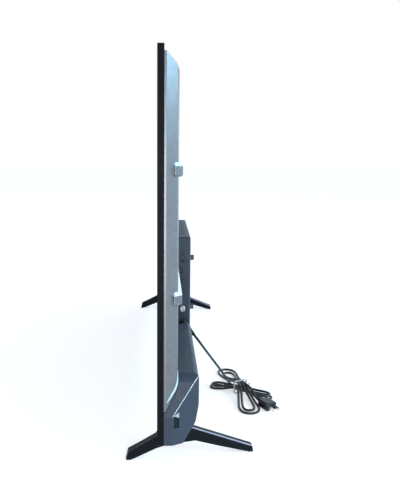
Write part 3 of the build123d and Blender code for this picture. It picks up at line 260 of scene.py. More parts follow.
# Ways from the boot to the waist, into it, and from it to the plug, in millimetres
waist_lead = [(22.0, 0.3, 12.6), (12.5, 0.6, 5.9)]
lead_points = [(187.0, 89.0, 88.0), (185.0, 104.0, 67.5), (179.8, 117.5, 48.0), (174.2, 130.0, 28.5)]
plug_lead = [(14.0, 0.5, 20.9), (28.0, 2.2, 18.9), (38.5, 2.0, 12.2), (47.0, 0.0, 7.7)]

# Visits in order: arm, reach, half width, slot going out, slot coming back, layer out, layer back
hank_visits = [
    ("e", 64.0 * MM, fold_half_width, lead_slot, waist_slot, 0, 0),
    ("a", 62.0 * MM, fold_half_width, waist_slot, waist_slot, 0, 1),
    ("e", 60.0 * MM, fold_half_width, waist_slot, waist_slot, 1, 1),
    ("a", 59.0 * MM, fold_half_width, waist_slot, waist_slot, 1, 2),
    ("d", 103.0 * MM, outer_half_width, outer_slot, outer_slot, 2, 2),
    ("b", 117.0 * MM, outer_half_width, outer_slot, inner_slot, 2, 2),
    ("d", 90.0 * MM, fold_half_width, inner_slot, inner_slot, 2, 2),
    ("b", 98.0 * MM, fold_half_width, inner_slot, -last_slot, 2, 3),
]


def smooth(value):
    """A gentle step from nought to one."""
    held = min(max(value, 0.0), 1.0)
    return held * held * (3 - 2 * held)


def layer_height(along, layer, drooping):
    """The height of a strand's middle at a distance from the waist."""
    rest = floor_rest + cord_diameter / 2
    if drooping:
        top = rest + tie_room + waist_arch + layer * strand_step
        low = rest + max(layer - lowest_layers, 0) * strand_step
        return top + (low - top) * smooth((along - droop_start) / (droop_end - droop_start))
    lift = tie_room * (1 - smooth((along - straight_from_waist) / droop_start))
    return rest + lift + layer * strand_step


def arm_point(arm, along, aside, height):
    """A point given along and to the left of an arm of the hank."""
    angle = math.radians(arm_headings[arm])
    x = waist_x + along * math.cos(angle) - aside * math.sin(angle)
    y = waist_y + along * math.sin(angle) + aside * math.cos(angle)
    return (x, y, height)


def arm_visit(arm, reach, half, slot_out, slot_back, layer_out, layer_back):
    """The route out along one side of an arm, round its fold and back along the other."""
    drooping = arm in ("b", "d")
    centre = reach - half
    corner = half / math.cos(math.radians(fold_angle / 2))
    points = []
    for side, slot, layer in ((-1, slot_out, layer_out), (1, slot_back, layer_back)):
        strand = []
        for share in strand_shares:
            along = straight_from_waist + (centre - straight_from_waist) * share
            aside = slot + (half - slot) * smooth(share * spread_share)
            climbed = smooth((arm_climbs[arm] - along) / (arm_climbs[arm] - straight_from_waist))
            level = layer_out + (layer - layer_out) * climbed
            strand.append(arm_point(arm, along, side * aside, layer_height(along, level, drooping)))
        points.append(strand)
    fold = []
    for angle in (-fold_angle, 0, fold_angle):
        along = centre + corner * math.cos(math.radians(angle))
        aside = corner * math.sin(math.radians(angle))
        fold.append(arm_point(arm, along, aside, layer_height(along, layer_out, drooping)))
    return points[0] + fold + points[1][::-1]


def plug_line(along, aside, height):
    """A point of the last stretch, along and to the left of the plug's heading."""
    heading = math.radians(plug_heading)
    x = waist_x + along * math.cos(heading) - aside * math.sin(heading)
    y = waist_y + along * math.sin(heading) + aside * math.cos(heading)
    return (x, y, height)


def cord_route():
    """The whole cord: out of the boot, down to the hank, round its loops and into the plug."""
    out = Vector(boot_start) + boot_turn * boot_length
    route = [tuple(out), tuple(out + boot_turn * cord_diameter * first_run_diameters)]
    route += [(x * MM, y * MM, z * MM) for x, y, z in lead_points]
    route += [arm_point("a", along * MM, aside * MM, height * MM) for along, aside, height in waist_lead]
    route.append(arm_point("a", waist_entry, lead_slot, layer_height(waist_entry, 0, False)))
    for visit in hank_visits:
        route += arm_visit(*visit)
    route += [plug_line(along * MM, aside * MM, height * MM) for along, aside, height in plug_lead]
    route.append(plug_line(plug_start, 0.0, floor_rest + plug_thickness / 2))
    return [(x, y + front_y, z) for x, y, z in route]


def nurbs_tube(name, points, radius, material):
    """A smooth round cord through its control points."""
    curve = bpy.data.curves.new(name, "CURVE")
    curve.dimensions = "3D"
    spline = curve.splines.new("NURBS")
    spline.points.add(len(points) - 1)
    for place, point in zip(spline.points, points):
        place.co = (*point, 1.0)
    spline.order_u = cord_order
    spline.use_endpoint_u = True
    spline.resolution_u = cord_steps
    curve.bevel_depth = radius
    curve.bevel_resolution = cord_roundness
    curve.use_fill_caps = True
    curve.materials.append(material)
    tube = bpy.data.objects.new(name, curve)
    bpy.context.scene.collection.objects.link(tube)
    return tube


def skin(name, skins, material):
    """A piece on the set, from one or more skins of rings that are joined and closed at both ends."""
    mesh = bmesh.new()
    for rings in skins:
        corners = [[mesh.verts.new(point) for point in ring] for ring in rings]
        for ring, following in zip(corners, corners[1:]):
            for index in range(len(ring)):
                after = (index + 1) % len(ring)
                mesh.faces.new((ring[index], ring[after], following[after], following[index]))
        mesh.faces.new(corners[0][::-1])
        mesh.faces.new(corners[-1])
    bmesh.ops.recalc_face_normals(mesh, faces=mesh.faces)
    data = bpy.data.meshes.new(name)
    mesh.to_mesh(data)
    mesh.free()
    data.materials.append(material)
    piece = bpy.data.objects.new(name, data)
    bpy.context.scene.collection.objects.link(piece)
    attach(piece, "set")
    return piece


def round_ring(centre, first, second, radius, count):
    """Points round a centre, in the plane of two directions."""
    turns = [2 * math.pi * index / count for index in range(count)]
    return [centre + (first * math.cos(turn) + second * math.sin(turn)) * radius for turn in turns]


def solid_boxes(piece):
    """The two corners of the box round each separate solid of a node."""
    leaders = {}

    def leader(spot):
        while leaders[spot] != spot:
            leaders[spot] = leaders[leaders[spot]]
            spot = leaders[spot]
        return spot

    places = [piece.matrix_world @ corner.co for corner in piece.data.vertices]
    spots = [tuple(round(value, joined_digits) for value in place) for place in places]
    for face in piece.data.polygons:
        for index in face.vertices:
            leaders.setdefault(spots[index], spots[index])
            leaders[leader(spots[index])] = leader(spots[face.vertices[0]])
    groups = {}
    for spot in leaders:
        groups.setdefault(leader(spot), []).append(spot)
    return [(Vector(map(min, zip(*group))), Vector(map(max, zip(*group)))) for group in groups.values()]


def cross_radius(turn, arm, width):
    """How far the outline of a cross lies from its middle, at an angle."""
    along = max(abs(math.cos(turn)), least_turn_share)
    aside = max(abs(math.sin(turn)), least_turn_share)
    return max(min(arm / along, width / aside), min(arm / aside, width / along))


def screw_rings(low, high, axis, head_end):
    """A screw along an axis with a rounded head and a cross recess, in the box of its solid."""
    into = Vector((0.0, 0.0, 0.0))
    into[axis] = 1.0 if head_end == 0 else -1.0
    first = Vector((1.0, 0.0, 0.0))
    second = into.cross(first)
    top = (low + high) / 2
    top[axis] = (low, high)[head_end][axis]
    radius = (high.x - low.x) / 2
    length = high[axis] - low[axis]
    turns = [2 * math.pi * index / screw_points for index in range(screw_points)]
    cross = [cross_radius(turn, cross_arm_share, cross_width_share) for turn in turns]
    rounds = [
        (length, shank_tip_share),
        (length - radius * shank_share, shank_share),
        (radius * head_share, shank_share),
        (radius * head_share, 1.0),
        (radius * rim_share, 1.0),
        (radius * crown_depth_share, crown_share),
        (0.0, crown_flat_share),
    ]
    profile = [(depth, [share] * screw_points) for depth, share in rounds]
    profile.append((0.0, cross))
    profile.append((radius * cross_depth_share, [share * cross_floor_share for share in cross]))
    return [
        [top + into * depth + (first * math.cos(turn) + second * math.sin(turn)) * radius * share
         for turn, share in zip(turns, shares)]
        for depth, shares in profile
    ]


def make_screws(frame, materials):
    """Screws with cross recesses in place of the plain ones of the cover and the feet."""
    for node, (axis, head_end) in screw_axes.items():
        boxes = solid_boxes(frame["nodes"][node])
        rings = [screw_rings(low, high, axis, head_end) for low, high in boxes]
        screws = skin(node + "_crossed", rings, materials["screw_steel"])
        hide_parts(node)


def make_antenna_thread(materials):
    """The screw thread round the antenna socket's barrel."""
    start = Vector(antenna_start) + Vector((0.0, front_y, 0.0))
    rings = []
    for step in range(thread_turns * thread_steps + 1):
        turn = 2 * math.pi * step / thread_steps
        outward = Vector((0.0, math.cos(turn), math.sin(turn)))
        along = Vector((thread_pitch * step / thread_steps, 0.0, 0.0))
        half = Vector((thread_half, 0.0, 0.0))
        root = start + along + outward * (antenna_radius - thread_sunk)
        rings.append([root - half, root + outward * thread_reach, root + half])
    skin("antenna_thread", [rings], materials["socket_metal"])


def end_point(y, z, depth, side):
    """A point on or under the slanted end of the low housing."""
    slope = end_taper / (end_far_y - end_near_y)
    return Vector((side * (end_half_width - slope * (y - end_near_y) - depth), y + front_y, z))


def make_crease_highlight_beads(materials):
    """A pale bead along the crease of each end of the housing, as a painted highlight."""
    beads = []
    for side in (-1, 1):
        rings = []
        for share in crease_shares:
            y = end_near_y + (end_far_y - end_near_y) * share
            z = crease_low + (crease_high - crease_low) * share
            radius = crease_tip if share in (crease_shares[0], crease_shares[-1]) else crease_bead
            centre = end_point(y, z, 0.0, side)
            rings.append(round_ring(centre, Vector((1.0, 0.0, 0.0)), crease_across, radius, crease_points))
        beads.append(rings)
    skin("cover_crease_beads", beads, materials["crease_shine"])


def tray_end(y, z, side):
    """A point on the slanted end of the tray."""
    slope = tray_taper / (tray_back_y - tray_near_y)
    return Vector((side * (tray_half_width - slope * (y - tray_near_y)), y + front_y, z))


def make_rolled_highlight_strips(materials):
    """A pale strip along the rolled edge where each end of the tray curves in under the housing, as a painted
    highlight.
    """
    strips = []
    for side in (-1, 1):
        centres = [tray_end(y * MM, z * MM, side) for y, z in rolled_points]
        outward = Vector((side * (tray_back_y - tray_near_y), tray_taper, 0.0)).normalized()
        rings = []
        for index, (centre, width) in enumerate(zip(centres, rolled_widths)):
            along = centres[min(index + 1, len(centres) - 1)] - centres[max(index - 1, 0)]
            across = along.cross(outward).normalized()
            rings.append(round_ring(centre, across * width, outward * rolled_rise, 1.0, rolled_count))
        strips.append(rings)
    piece = skin("tray_rolled_edges", strips, materials["rolled_shine"])
    rounding = piece.modifiers.new("rounding", "SUBSURF")
    rounding.levels = rolled_levels
    rounding.render_levels = rolled_levels


def plate_rings(outline, low_depth, high_depth, side):
    """A thin plate with softened rims in the end of the housing, from its (y, z) outline."""
    middle = Vector((sum(y for y, z in outline), sum(z for y, z in outline))) / len(outline)
    rings = []
    middle_depth = (low_depth + high_depth) / 2
    for depth, share in ((low_depth, 1.0), (middle_depth, 1.0), (high_depth, plate_rim_share)):
        points = [middle + (Vector(corner) - middle) * share for corner in outline]
        rings.append([end_point(y, z, depth, side) for y, z in points])
    return rings


def make_recess_shade_and_highlight(materials):
    """A dark plate on the floor of the recess in each end of the housing as painted shade, and a pale one on
    its sloping upper face as a painted highlight.
    """
    near, far = recess_span
    low, high = recess_heights
    ramp_low, ramp_middle, ramp_high = ramp_heights
    floors = []
    ramps = []
    for side in (-1, 1):
        floors.append(plate_rings([(near, low), (far, low), (far, high), (near, ramp_middle)],
                                  recess_depth, recess_depth - face_thickness, side))
        ramps.append(plate_rings([(near, ramp_middle), (far, ramp_low), (far, ramp_high)],
                                 recess_depth, recess_depth - ramp_thickness, side))
    skin("side_recess_floors", floors, materials["recess_shade"])
    skin("side_recess_ramps", ramps, materials["ramp_shine"])


def add_node(tree, kind, **settings):
    """A shader node with some of its settings and inputs filled in."""
    node = tree.nodes.new(kind)
    for key, value in settings.items():
        if hasattr(node, key):
            setattr(node, key, value)
        else:
            node.inputs[key.replace("_", " ")].default_value = value
    return node


def new_material(name):
    """An empty material with its surface shader, and place coordinates in metres."""
    material = bpy.data.materials.new(name + finish_ending)
    material.use_nodes = True
    tree = material.node_tree
    tree.nodes.clear()
    shader = tree.nodes.new("ShaderNodeBsdfPrincipled")
    output = tree.nodes.new("ShaderNodeOutputMaterial")
    tree.links.new(shader.outputs["BSDF"], output.inputs["Surface"])
    place = tree.nodes.new("ShaderNodeTexCoord")
    return material, tree, shader, place.outputs["Object"]


def stretched(tree, place, scale_shares):
    """Coordinates stretched by a share on each axis."""
    mapping = tree.nodes.new("ShaderNodeMapping")
    mapping.inputs["Scale"].default_value = scale_shares
    tree.links.new(place, mapping.inputs["Vector"])
    return mapping.outputs["Vector"]


def noise(tree, place, size, detail=plain_detail):
    """A cloudy pattern whose patches are about one size across."""
    pattern = add_node(tree, "ShaderNodeTexNoise", Scale=1 / size, Detail=detail)
    pattern.inputs["Roughness"].default_value = noise_roughness
    tree.links.new(place, pattern.inputs["Vector"])
    return pattern.outputs["Fac"]


def cells(tree, place, size):
    """A grain of small rounded cells."""
    pattern = add_node(tree, "ShaderNodeTexVoronoi", Scale=1 / size)
    tree.links.new(place, pattern.inputs["Vector"])
    return pattern.outputs["Distance"]


def ramp(tree, value, low, high, shares=plain_shares):
    """A value turned into a number between two others, while it goes from one share to the next."""
    spread = tree.nodes.new("ShaderNodeMapRange")
    spread.inputs["From Min"].default_value = shares[0]
    spread.inputs["From Max"].default_value = shares[1]
    spread.inputs["To Min"].default_value = low
    spread.inputs["To Max"].default_value = high
    tree.links.new(value, spread.inputs["Value"])
    return spread.outputs["Result"]


def colour_mix(tree, value, first, second):
    """A colour between two others, either of which may be another node's output."""
    mix = tree.nodes.new("ShaderNodeMix")
    mix.data_type = "RGBA"
    sockets = [socket for socket in mix.inputs if socket.type == "RGBA"]
    for socket, colour in zip(sockets, (first, second)):
        if isinstance(colour, tuple):
            socket.default_value = (*colour, 1.0)
        else:
            tree.links.new(colour, socket)
    tree.links.new(value, mix.inputs[0])
    return [socket for socket in mix.outputs if socket.type == "RGBA"][0]


def number_mix(tree, value, first, second):
    """A number between two others, of which the first may be another node's output."""
    mix = tree.nodes.new("ShaderNodeMix")
    tree.links.new(value, mix.inputs[0])
    tree.links.new(first, mix.inputs[2])
    mix.inputs[3].default_value = second
    return mix.outputs[0]


def rounded_normal(tree, radius):
    """The surface's normal with its sharp edges rounded."""
    soft = add_node(tree, "ShaderNodeBevel", samples=bevel_samples, Radius=radius)
    return soft.outputs["Normal"]


def edge_mask(tree, rounded):
    """One along the sharp edges and nought on the flats."""
    flat = tree.nodes.new("ShaderNodeNewGeometry")
    turn = tree.nodes.new("ShaderNodeVectorMath")
    turn.operation = "DOT_PRODUCT"
    tree.links.new(rounded, turn.inputs[0])
    tree.links.new(flat.outputs["Normal"], turn.inputs[1])
    return ramp(tree, turn.outputs["Value"], 1.0, 0.0, edge_shares)


def product(tree, first, second):
    """Two masks multiplied."""
    both = tree.nodes.new("ShaderNodeMath")
    both.operation = "MULTIPLY"
    tree.links.new(first, both.inputs[0])
    tree.links.new(second, both.inputs[1])
    return both.outputs["Value"]


def size_of(tree, value):
    """A number without its sign."""
    size = tree.nodes.new("ShaderNodeMath")
    size.operation = "ABSOLUTE"
    tree.links.new(value, size.inputs[0])
    return size.outputs["Value"]


def upward_glare_mask(tree, rounded, shares):
    """One on faces and rolled edges that look up, where the painted highlight colour goes."""
    parts = tree.nodes.new("ShaderNodeSeparateXYZ")
    tree.links.new(rounded, parts.inputs["Vector"])
    return ramp(tree, parts.outputs["Z"], 0.0, 1.0, shares)


def top_edge_highlight_mask(tree, rounded, shares):
    """One on rolled edges that look to the end and up, where the painted highlight colour goes."""
    parts = tree.nodes.new("ShaderNodeSeparateXYZ")
    tree.links.new(rounded, parts.inputs["Vector"])
    endward = ramp(tree, size_of(tree, parts.outputs["X"]), 0.0, 1.0, shares)
    return product(tree, endward, upward_glare_mask(tree, rounded, shares))


def bump(tree, shader, height, distance, strength, normal=None):
    """Surface relief on top of a normal."""
    relief = tree.nodes.new("ShaderNodeBump")
    relief.inputs["Strength"].default_value = strength
    relief.inputs["Distance"].default_value = distance
    tree.links.new(height, relief.inputs["Height"])
    if normal is not None:
        tree.links.new(normal, relief.inputs["Normal"])
    tree.links.new(relief.outputs["Normal"], shader.inputs["Normal"])


def scaled(colour, share):
    """A colour made darker or lighter."""
    return tuple(channel * share for channel in colour)


def around(middle, spread):
    """The two ends of a spread round a middle value."""
    return [middle + step for step in spread]


def plastic(name, colour, roughness=0.42, grain=moulded_grain, relief=moulded_relief, edge=soft_edge,
            gloss=0.4, worn=None, painted_highlight_colour=None):
    """Moulded plastic: grain, uneven tone, dust, rubbed edges and, if it is given, a painted highlight colour
    on edges that look to the end and up.
    """
    material, tree, shader, place = new_material(name)
    rounded = rounded_normal(tree, edge)
    rubbed = edge_mask(tree, rounded)
    tone = ramp(tree, noise(tree, place, tone_patch), 0.0, 1.0)
    ground = colour_mix(tree, tone, scaled(colour, dark_share), scaled(colour, light_share))
    specks = noise(tree, place, dust_patch, dust_detail)
    dust = ramp(tree, specks, 0.0, dust_strength_share, dust_shares)
    dusty = colour_mix(tree, dust, ground, scaled(colour, dusty_share))
    surface = colour_mix(tree, rubbed, dusty, worn or scaled(colour, worn_share))
    if painted_highlight_colour:
        # Painted highlight: edges that look to the end and up get the highlight colour
        surface = colour_mix(tree, top_edge_highlight_mask(tree, rounded, top_edge_highlight_shares), surface, painted_highlight_colour)
    tree.links.new(surface, shader.inputs["Base Color"])
    patchy = ramp(tree, noise(tree, place, dust_patch, patch_detail), *around(roughness, plastic_spread))
    tree.links.new(number_mix(tree, rubbed, patchy, roughness * rubbed_share), shader.inputs["Roughness"])
    shader.inputs["Specular IOR Level"].default_value = gloss
    bump(tree, shader, cells(tree, place, grain), relief, moulded_strength, rounded)
    return material


def sheet_metal(name, colour, worn, painted_highlight_colour, roughness=0.34):
    """Coated sheet steel: faint spangle, rolling lines and soft edges, with a paler colour painted on faces
    that look up as a painted highlight of glare.
    """
    material, tree, shader, place = new_material(name)
    shader.inputs["Metallic"].default_value = coated_metal_share
    rounded = rounded_normal(tree, broad_edge)
    rubbed = edge_mask(tree, rounded)
    spangle = ramp(tree, cells(tree, place, spangle_size), 0.0, 1.0, spangle_mask_shares)
    ground = colour_mix(tree, spangle, *[scaled(colour, share) for share in spangle_shares])
    patches = noise(tree, place, tone_patch, patch_detail)
    smudge = ramp(tree, patches, 0.0, smudge_strength_share, smudge_shares)
    smudged = colour_mix(tree, smudge, ground, scaled(colour, smudged_share))
    edged = colour_mix(tree, rubbed, smudged, worn)
    # Painted highlight: faces that look up get the paler glare colour
    painted_glare = upward_glare_mask(tree, rounded, glare_paint_shares)
    tree.links.new(colour_mix(tree, painted_glare, edged, painted_highlight_colour), shader.inputs["Base Color"])
    lines = noise(tree, stretched(tree, place, rolling_stretch_shares), rolling_line, fine_detail)
    tree.links.new(ramp(tree, lines, *around(roughness, sheet_spread)), shader.inputs["Roughness"])
    bump(tree, shader, noise(tree, place, spangle_grain), fine_relief, metal_strength, rounded)
    return material


def bare_metal(name, colour, roughness=0.25, grain=moulded_grain):
    """Plated or bare metal with fine machining marks and brighter edges."""
    material, tree, shader, place = new_material(name)
    shader.inputs["Metallic"].default_value = 1.0
    rounded = rounded_normal(tree, crisp_edge)
    rubbed = edge_mask(tree, rounded)
    marks = noise(tree, stretched(tree, place, marks_stretch_shares), grain)
    ground = colour_mix(tree, marks, scaled(colour, dark_share), scaled(colour, metal_light_share))
    bright = tuple(min(channel, metal_brightest) for channel in scaled(colour, metal_bright_share))
    tree.links.new(colour_mix(tree, rubbed, ground, bright), shader.inputs["Base Color"])
    tree.links.new(ramp(tree, marks, *around(roughness, metal_spread)), shader.inputs["Roughness"])
    bump(tree, shader, marks, fine_relief, metal_strength, rounded)
    return material


def rubber(name, colour, roughness=0.45, sheen=0.1):
    """Soft rubber or cord sheath, with a faint dusty bloom."""
    material, tree, shader, place = new_material(name)
    bloom = ramp(tree, noise(tree, place, dust_patch, patch_detail), 0.0, 1.0, bloom_shares)
    surface = colour_mix(tree, bloom, colour, scaled(colour, dusty_share))
    tree.links.new(surface, shader.inputs["Base Color"])
    rough = ramp(tree, bloom, *around(roughness, rubber_spread), whole_shares)
    tree.links.new(rough, shader.inputs["Roughness"])
    shader.inputs["Sheen Weight"].default_value = sheen
    bump(tree, shader, noise(tree, place, moulded_grain, fine_detail), fine_relief, metal_strength)
    return material


def anti_glare_glass(name, colour, roughness=0.22):
    """Dark screen glass with an etched face that blurs what it reflects."""
    material, tree, shader, place = new_material(name)
    tone = ramp(tree, noise(tree, place, wide_patch), 0.0, 1.0)
    shades = [scaled(colour, share) for share in glass_shares]
    tree.links.new(colour_mix(tree, tone, *shades), shader.inputs["Base Color"])
    etch = noise(tree, place, fine_grain, fine_detail)
    tree.links.new(ramp(tree, etch, *around(roughness, glass_spread)), shader.inputs["Roughness"])
    shader.inputs["Coat Weight"].default_value = coat_share
    bump(tree, shader, etch, fine_relief, glass_strength)
    return material


def circuit_board(name, colour, copper):
    """Coated board with the fine pattern of its tracks showing through."""
    material, tree, shader, place = new_material(name)
    upright = tree.nodes.new("ShaderNodeMapping")
    upright.inputs["Rotation"].default_value = (math.radians(90), 0, 0)
    tree.links.new(place, upright.inputs["Vector"])
    tracks = add_node(tree, "ShaderNodeTexBrick", Scale=1 / board_track)
    tracks.inputs["Mortar Size"].default_value = board_gap_share
    tracks.inputs["Color1"].default_value = (*colour, 1.0)
    tracks.inputs["Color2"].default_value = (*scaled(colour, second_track_share), 1.0)
    tracks.inputs["Mortar"].default_value = (*copper, 1.0)
    tree.links.new(upright.outputs["Vector"], tracks.inputs["Vector"])
    tree.links.new(tracks.outputs["Color"], shader.inputs["Base Color"])
    rough = ramp(tree, noise(tree, place, dust_patch), *board_roughness)
    tree.links.new(rough, shader.inputs["Roughness"])
    rounded = rounded_normal(tree, crisp_edge)
    bump(tree, shader, tracks.outputs["Fac"], fine_relief, metal_strength, rounded)
    return material


def milky(name, colour, roughness=0.5):
    """White film, paper or soft pale plastic."""
    material, tree, shader, place = new_material(name)
    tone = ramp(tree, noise(tree, place, tone_patch), 0.0, 1.0)
    surface = colour_mix(tree, tone, scaled(colour, film_dark_share), colour)
    tree.links.new(surface, shader.inputs["Base Color"])
    rough = ramp(tree, tone, *around(roughness, film_spread), whole_shares)
    tree.links.new(rough, shader.inputs["Roughness"])
    bump(tree, shader, noise(tree, place, moulded_grain), fine_relief, film_strength)
    return material


def make_materials():
    """One material for each slot of the record, and those of the pieces that are made here."""
    fine = {"grain": fine_grain, "relief": fine_relief, "edge": crisp_edge}
    materials = [
        plastic("bezel_plastic", (0.006, 0.007, 0.009), 0.46, gloss=0.06, **fine),
        plastic("cover_plastic", (0.028, 0.042, 0.066), 0.46, edge=broad_edge, gloss=0.34,
                worn=(0.07, 0.09, 0.12)),
        anti_glare_glass("screen_glass", (0.006, 0.007, 0.009)),
        anti_glare_glass("rear_glass", (0.010, 0.010, 0.012)),
        plastic("frame_plastic", (0.020, 0.020, 0.020)),
        milky("film_white", (0.85, 0.86, 0.87), 0.35),
        milky("reflector_white", (0.90, 0.90, 0.90)),
        # The tray's last colour is a painted highlight of glare on its upward faces
        sheet_metal("tray_metal", (0.160, 0.165, 0.176), (0.27, 0.29, 0.32), (0.80, 0.90, 0.97)),
        milky("strip_board", (0.85, 0.85, 0.85), 0.4),
        milky("lens_clear", (0.80, 0.80, 0.78), 0.1),
        milky("post_white", (0.85, 0.85, 0.83)),
        circuit_board("circuit_green", (0.010, 0.090, 0.035), (0.08, 0.22, 0.08)),
        plastic("ribbon_amber", (0.350, 0.140, 0.020), 0.25, **fine),
        plastic("chip_black", (0.015, 0.015, 0.016), 0.50, **fine),
        bare_metal("fin_metal", (0.72, 0.73, 0.74), 0.35),
        bare_metal("socket_metal", (0.60, 0.60, 0.60), 0.22),
        plastic("jack_plastic", (0.015, 0.015, 0.018), 0.35, **fine),
        plastic("power_part", (0.420, 0.330, 0.060), 0.40),
        plastic("capacitor_sleeve", (0.020, 0.025, 0.050), 0.25, **fine),
        bare_metal("screw_steel", (0.25, 0.25, 0.26), 0.30),
        rubber("wire_plastic", (0.020, 0.020, 0.020), 0.40),
        plastic("speaker_plastic", (0.020, 0.020, 0.020), 0.50),
        milky("speaker_cone", (0.03, 0.03, 0.03), 0.8),
        plastic("window_dark", (0.030, 0.004, 0.006), 0.12, gloss=0.5, **fine),
        plastic("button_plastic", (0.020, 0.020, 0.022), 0.40, **fine),
        bare_metal("mount_steel", (0.09, 0.09, 0.095), 0.40),
        # The foot's last colour is a painted highlight along its top edges
        plastic("foot_plastic", (0.008, 0.010, 0.013), 0.38, edge=broad_edge, gloss=0.08,
                worn=(0.02, 0.02, 0.03), painted_highlight_colour=(0.42, 0.42, 0.52)),
        rubber("pad_rubber", (0.020, 0.020, 0.020), 0.80),
        rubber("boot_rubber", (0.010, 0.010, 0.011), 0.45),
        rubber("cord_sheath", (0.008, 0.008, 0.009), 0.36),
        milky("tie_plastic", (0.55, 0.56, 0.58), 0.25),
        plastic("plug_plastic", (0.012, 0.012, 0.014), 0.36),
        bare_metal("blade_metal", (0.72, 0.70, 0.66), 0.20),
        # Darker metal as painted shade for the sockets deep in the wall
        bare_metal("shaded_metal", (0.07, 0.07, 0.08), 0.35),
        # Painted highlight of the tray's rolled lower corner
        plastic("rolled_shine", (0.56, 0.74, 0.95), 0.25, gloss=0.6, **fine),
        # Painted highlight along the housing's crease
        plastic("crease_shine", (0.72, 0.78, 0.84), 0.22, gloss=0.5, **fine),
        # Painted shade on the recess floor, then a painted highlight on its ramp
        plastic("recess_shade", (0.010, 0.018, 0.021), 0.60, gloss=0.1, **fine),
        plastic("ramp_shine", (0.36, 0.46, 0.52), 0.25, gloss=0.5, **fine),
    ]
    return {material.name.removesuffix(finish_ending): material for material in materials}


def dress_nodes(frame, materials):
    """Gives every piece of the frame the material of its slot, and the recessed sockets a darker metal as
    painted shade.
    """
    for subpart in frame["record"]["subparts"]:
        piece = frame["nodes"][subpart["node"]]
        # The deep sockets get the darker metal as painted shade
        finish = "shaded_metal" if subpart["node"] in shade_painted_sockets else subpart["material_slot"]
        piece.data.materials.clear()
        piece.data.materials.append(materials[finish])


def make_cord(materials):
    """The mains cord in one length from the boot to the plug."""
    route = cord_route()
    cord = nurbs_tube("mains_cord", route, cord_diameter / 2, materials["cord_sheath"])
    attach(cord, "set")
    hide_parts("cord_lead", "cord_hank")


def set_camera():
    """The camera at the photograph's place and angle."""
    flat = Vector((-math.cos(camera_yaw), math.sin(camera_yaw), 0.0))
    ahead = flat * math.cos(camera_pitch) + Vector((0.0, 0.0, math.sin(camera_pitch)))
    right = ahead.cross(Vector((0.0, 0.0, 1.0))).normalized()
    up = right.cross(ahead)
    level = Matrix((right, up, -ahead)).transposed()
    rolled = level @ Matrix.Rotation(camera_roll, 3, "Z")
    data = bpy.data.cameras.new("camera")
    data.lens = camera_lens
    data.sensor_width = camera_sensor
    data.clip_start = nearest_seen
    camera = bpy.data.objects.new("camera", data)
    camera.matrix_world = Matrix.Translation(camera_place) @ rolled.to_4x4()
    bpy.context.scene.collection.objects.link(camera)
    bpy.context.scene.camera = camera


def soft_light(name, place, size, power, colour):
    """A soft square lamp that looks at the set."""
    data = bpy.data.lights.new(name, "AREA")
    data.shape = "SQUARE"
    data.size = size
    data.energy = power
    data.color = colour
    lamp = bpy.data.objects.new(name, data)
    lamp.location = place
    lamp.rotation_euler = (Vector(look_at) - Vector(place)).to_track_quat("-Z", "Y").to_euler()
    bpy.context.scene.collection.objects.link(lamp)


def seen_or_mirrored(tree):
    """One for rays from the camera, and for those that gloss or glass sends on."""
    rays = tree.nodes.new("ShaderNodeLightPath")
    total = rays.outputs["Is Camera Ray"]
    for kind in ("Is Glossy Ray", "Is Transmission Ray"):
        larger = tree.nodes.new("ShaderNodeMath")
        larger.operation = "MAXIMUM"
        tree.links.new(total, larger.inputs[0])
        tree.links.new(rays.outputs[kind], larger.inputs[1])
        total = larger.outputs["Value"]
    return total


def mixed_background(tree, share, first, second):
    """The first background where the share is zero, the second where it is one."""
    either = tree.nodes.new("ShaderNodeMixShader")
    tree.links.new(share, either.inputs["Fac"])
    tree.links.new(first, either.inputs[1])
    tree.links.new(second, either.inputs[2])
    return either.outputs["Shader"]


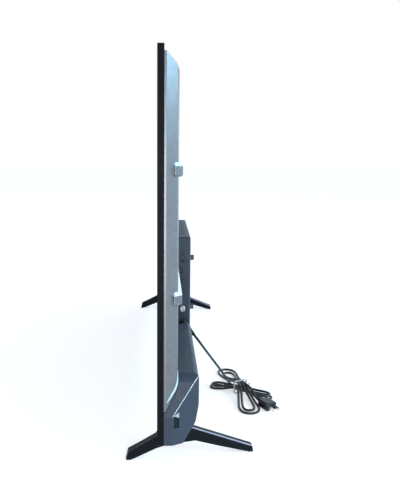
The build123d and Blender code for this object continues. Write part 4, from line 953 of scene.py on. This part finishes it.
def set_world():
    """An even pale sky that is pure white where it is seen and pale blue where gloss mirrors it."""
    world = bpy.data.worlds.new("studio")
    bpy.context.scene.world = world
    world.use_nodes = True
    tree = world.node_tree
    tree.nodes.clear()
    dim = add_node(tree, "ShaderNodeBackground", Color=(*sky_colour, 1.0), Strength=sky_share)
    mirrored = add_node(tree, "ShaderNodeBackground", Color=(*mirrored_colour, 1.0), Strength=1.0)
    white = add_node(tree, "ShaderNodeBackground", Color=(*plain_white, 1.0), Strength=1.0)
    rays = tree.nodes.new("ShaderNodeLightPath")
    sky = mixed_background(tree, rays.outputs["Is Glossy Ray"], dim.outputs["Background"],
                           mirrored.outputs["Background"])
    for kind in ("Is Transmission Ray", "Is Camera Ray"):
        sky = mixed_background(tree, rays.outputs[kind], sky, white.outputs["Background"])
    output = tree.nodes.new("ShaderNodeOutputWorld")
    tree.links.new(sky, output.inputs["Surface"])


def set_floor():
    """A plain pale floor that looks white and keeps the set's shadow."""
    data = bpy.data.meshes.new("floor")
    half = floor_size / 2
    corners = [(-half, -half, 0), (half, -half, 0), (half, half, 0), (-half, half, 0)]
    data.from_pydata(corners, [], [(0, 1, 2, 3)])
    floor = bpy.data.objects.new("floor", data)
    bpy.context.scene.collection.objects.link(floor)
    material, tree, shader, place = new_material("floor")
    shader.inputs["Base Color"].default_value = (*floor_colour, 1.0)
    shader.inputs["Roughness"].default_value = floor_roughness
    shader.inputs["Specular IOR Level"].default_value = 0.0
    shader.inputs["Emission Color"].default_value = (*plain_white, 1.0)
    glow = tree.nodes.new("ShaderNodeMath")
    glow.operation = "MULTIPLY"
    glow.inputs[1].default_value = floor_glow_share
    tree.links.new(seen_or_mirrored(tree), glow.inputs[0])
    tree.links.new(glow.outputs["Value"], shader.inputs["Emission Strength"])
    floor.data.materials.append(material)


def set_lights():
    """Soft studio lamps above, behind and beside the set."""
    for name, (place, size, power, colour) in lamps.items():
        soft_light(name, place, size, power, colour)


def main():
    """Dresses the frame, adds the small details, and sets the camera and the light."""
    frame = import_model()
    bpy.context.scene.view_settings.view_transform = "Standard"
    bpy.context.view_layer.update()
    set_camera()
    materials = make_materials()
    dress_nodes(frame, materials)
    make_cord(materials)
    make_screws(frame, materials)
    make_antenna_thread(materials)
    make_crease_highlight_beads(materials)
    make_recess_shade_and_highlight(materials)
    make_rolled_highlight_strips(materials)
    set_world()
    set_floor()
    set_lights()


main()
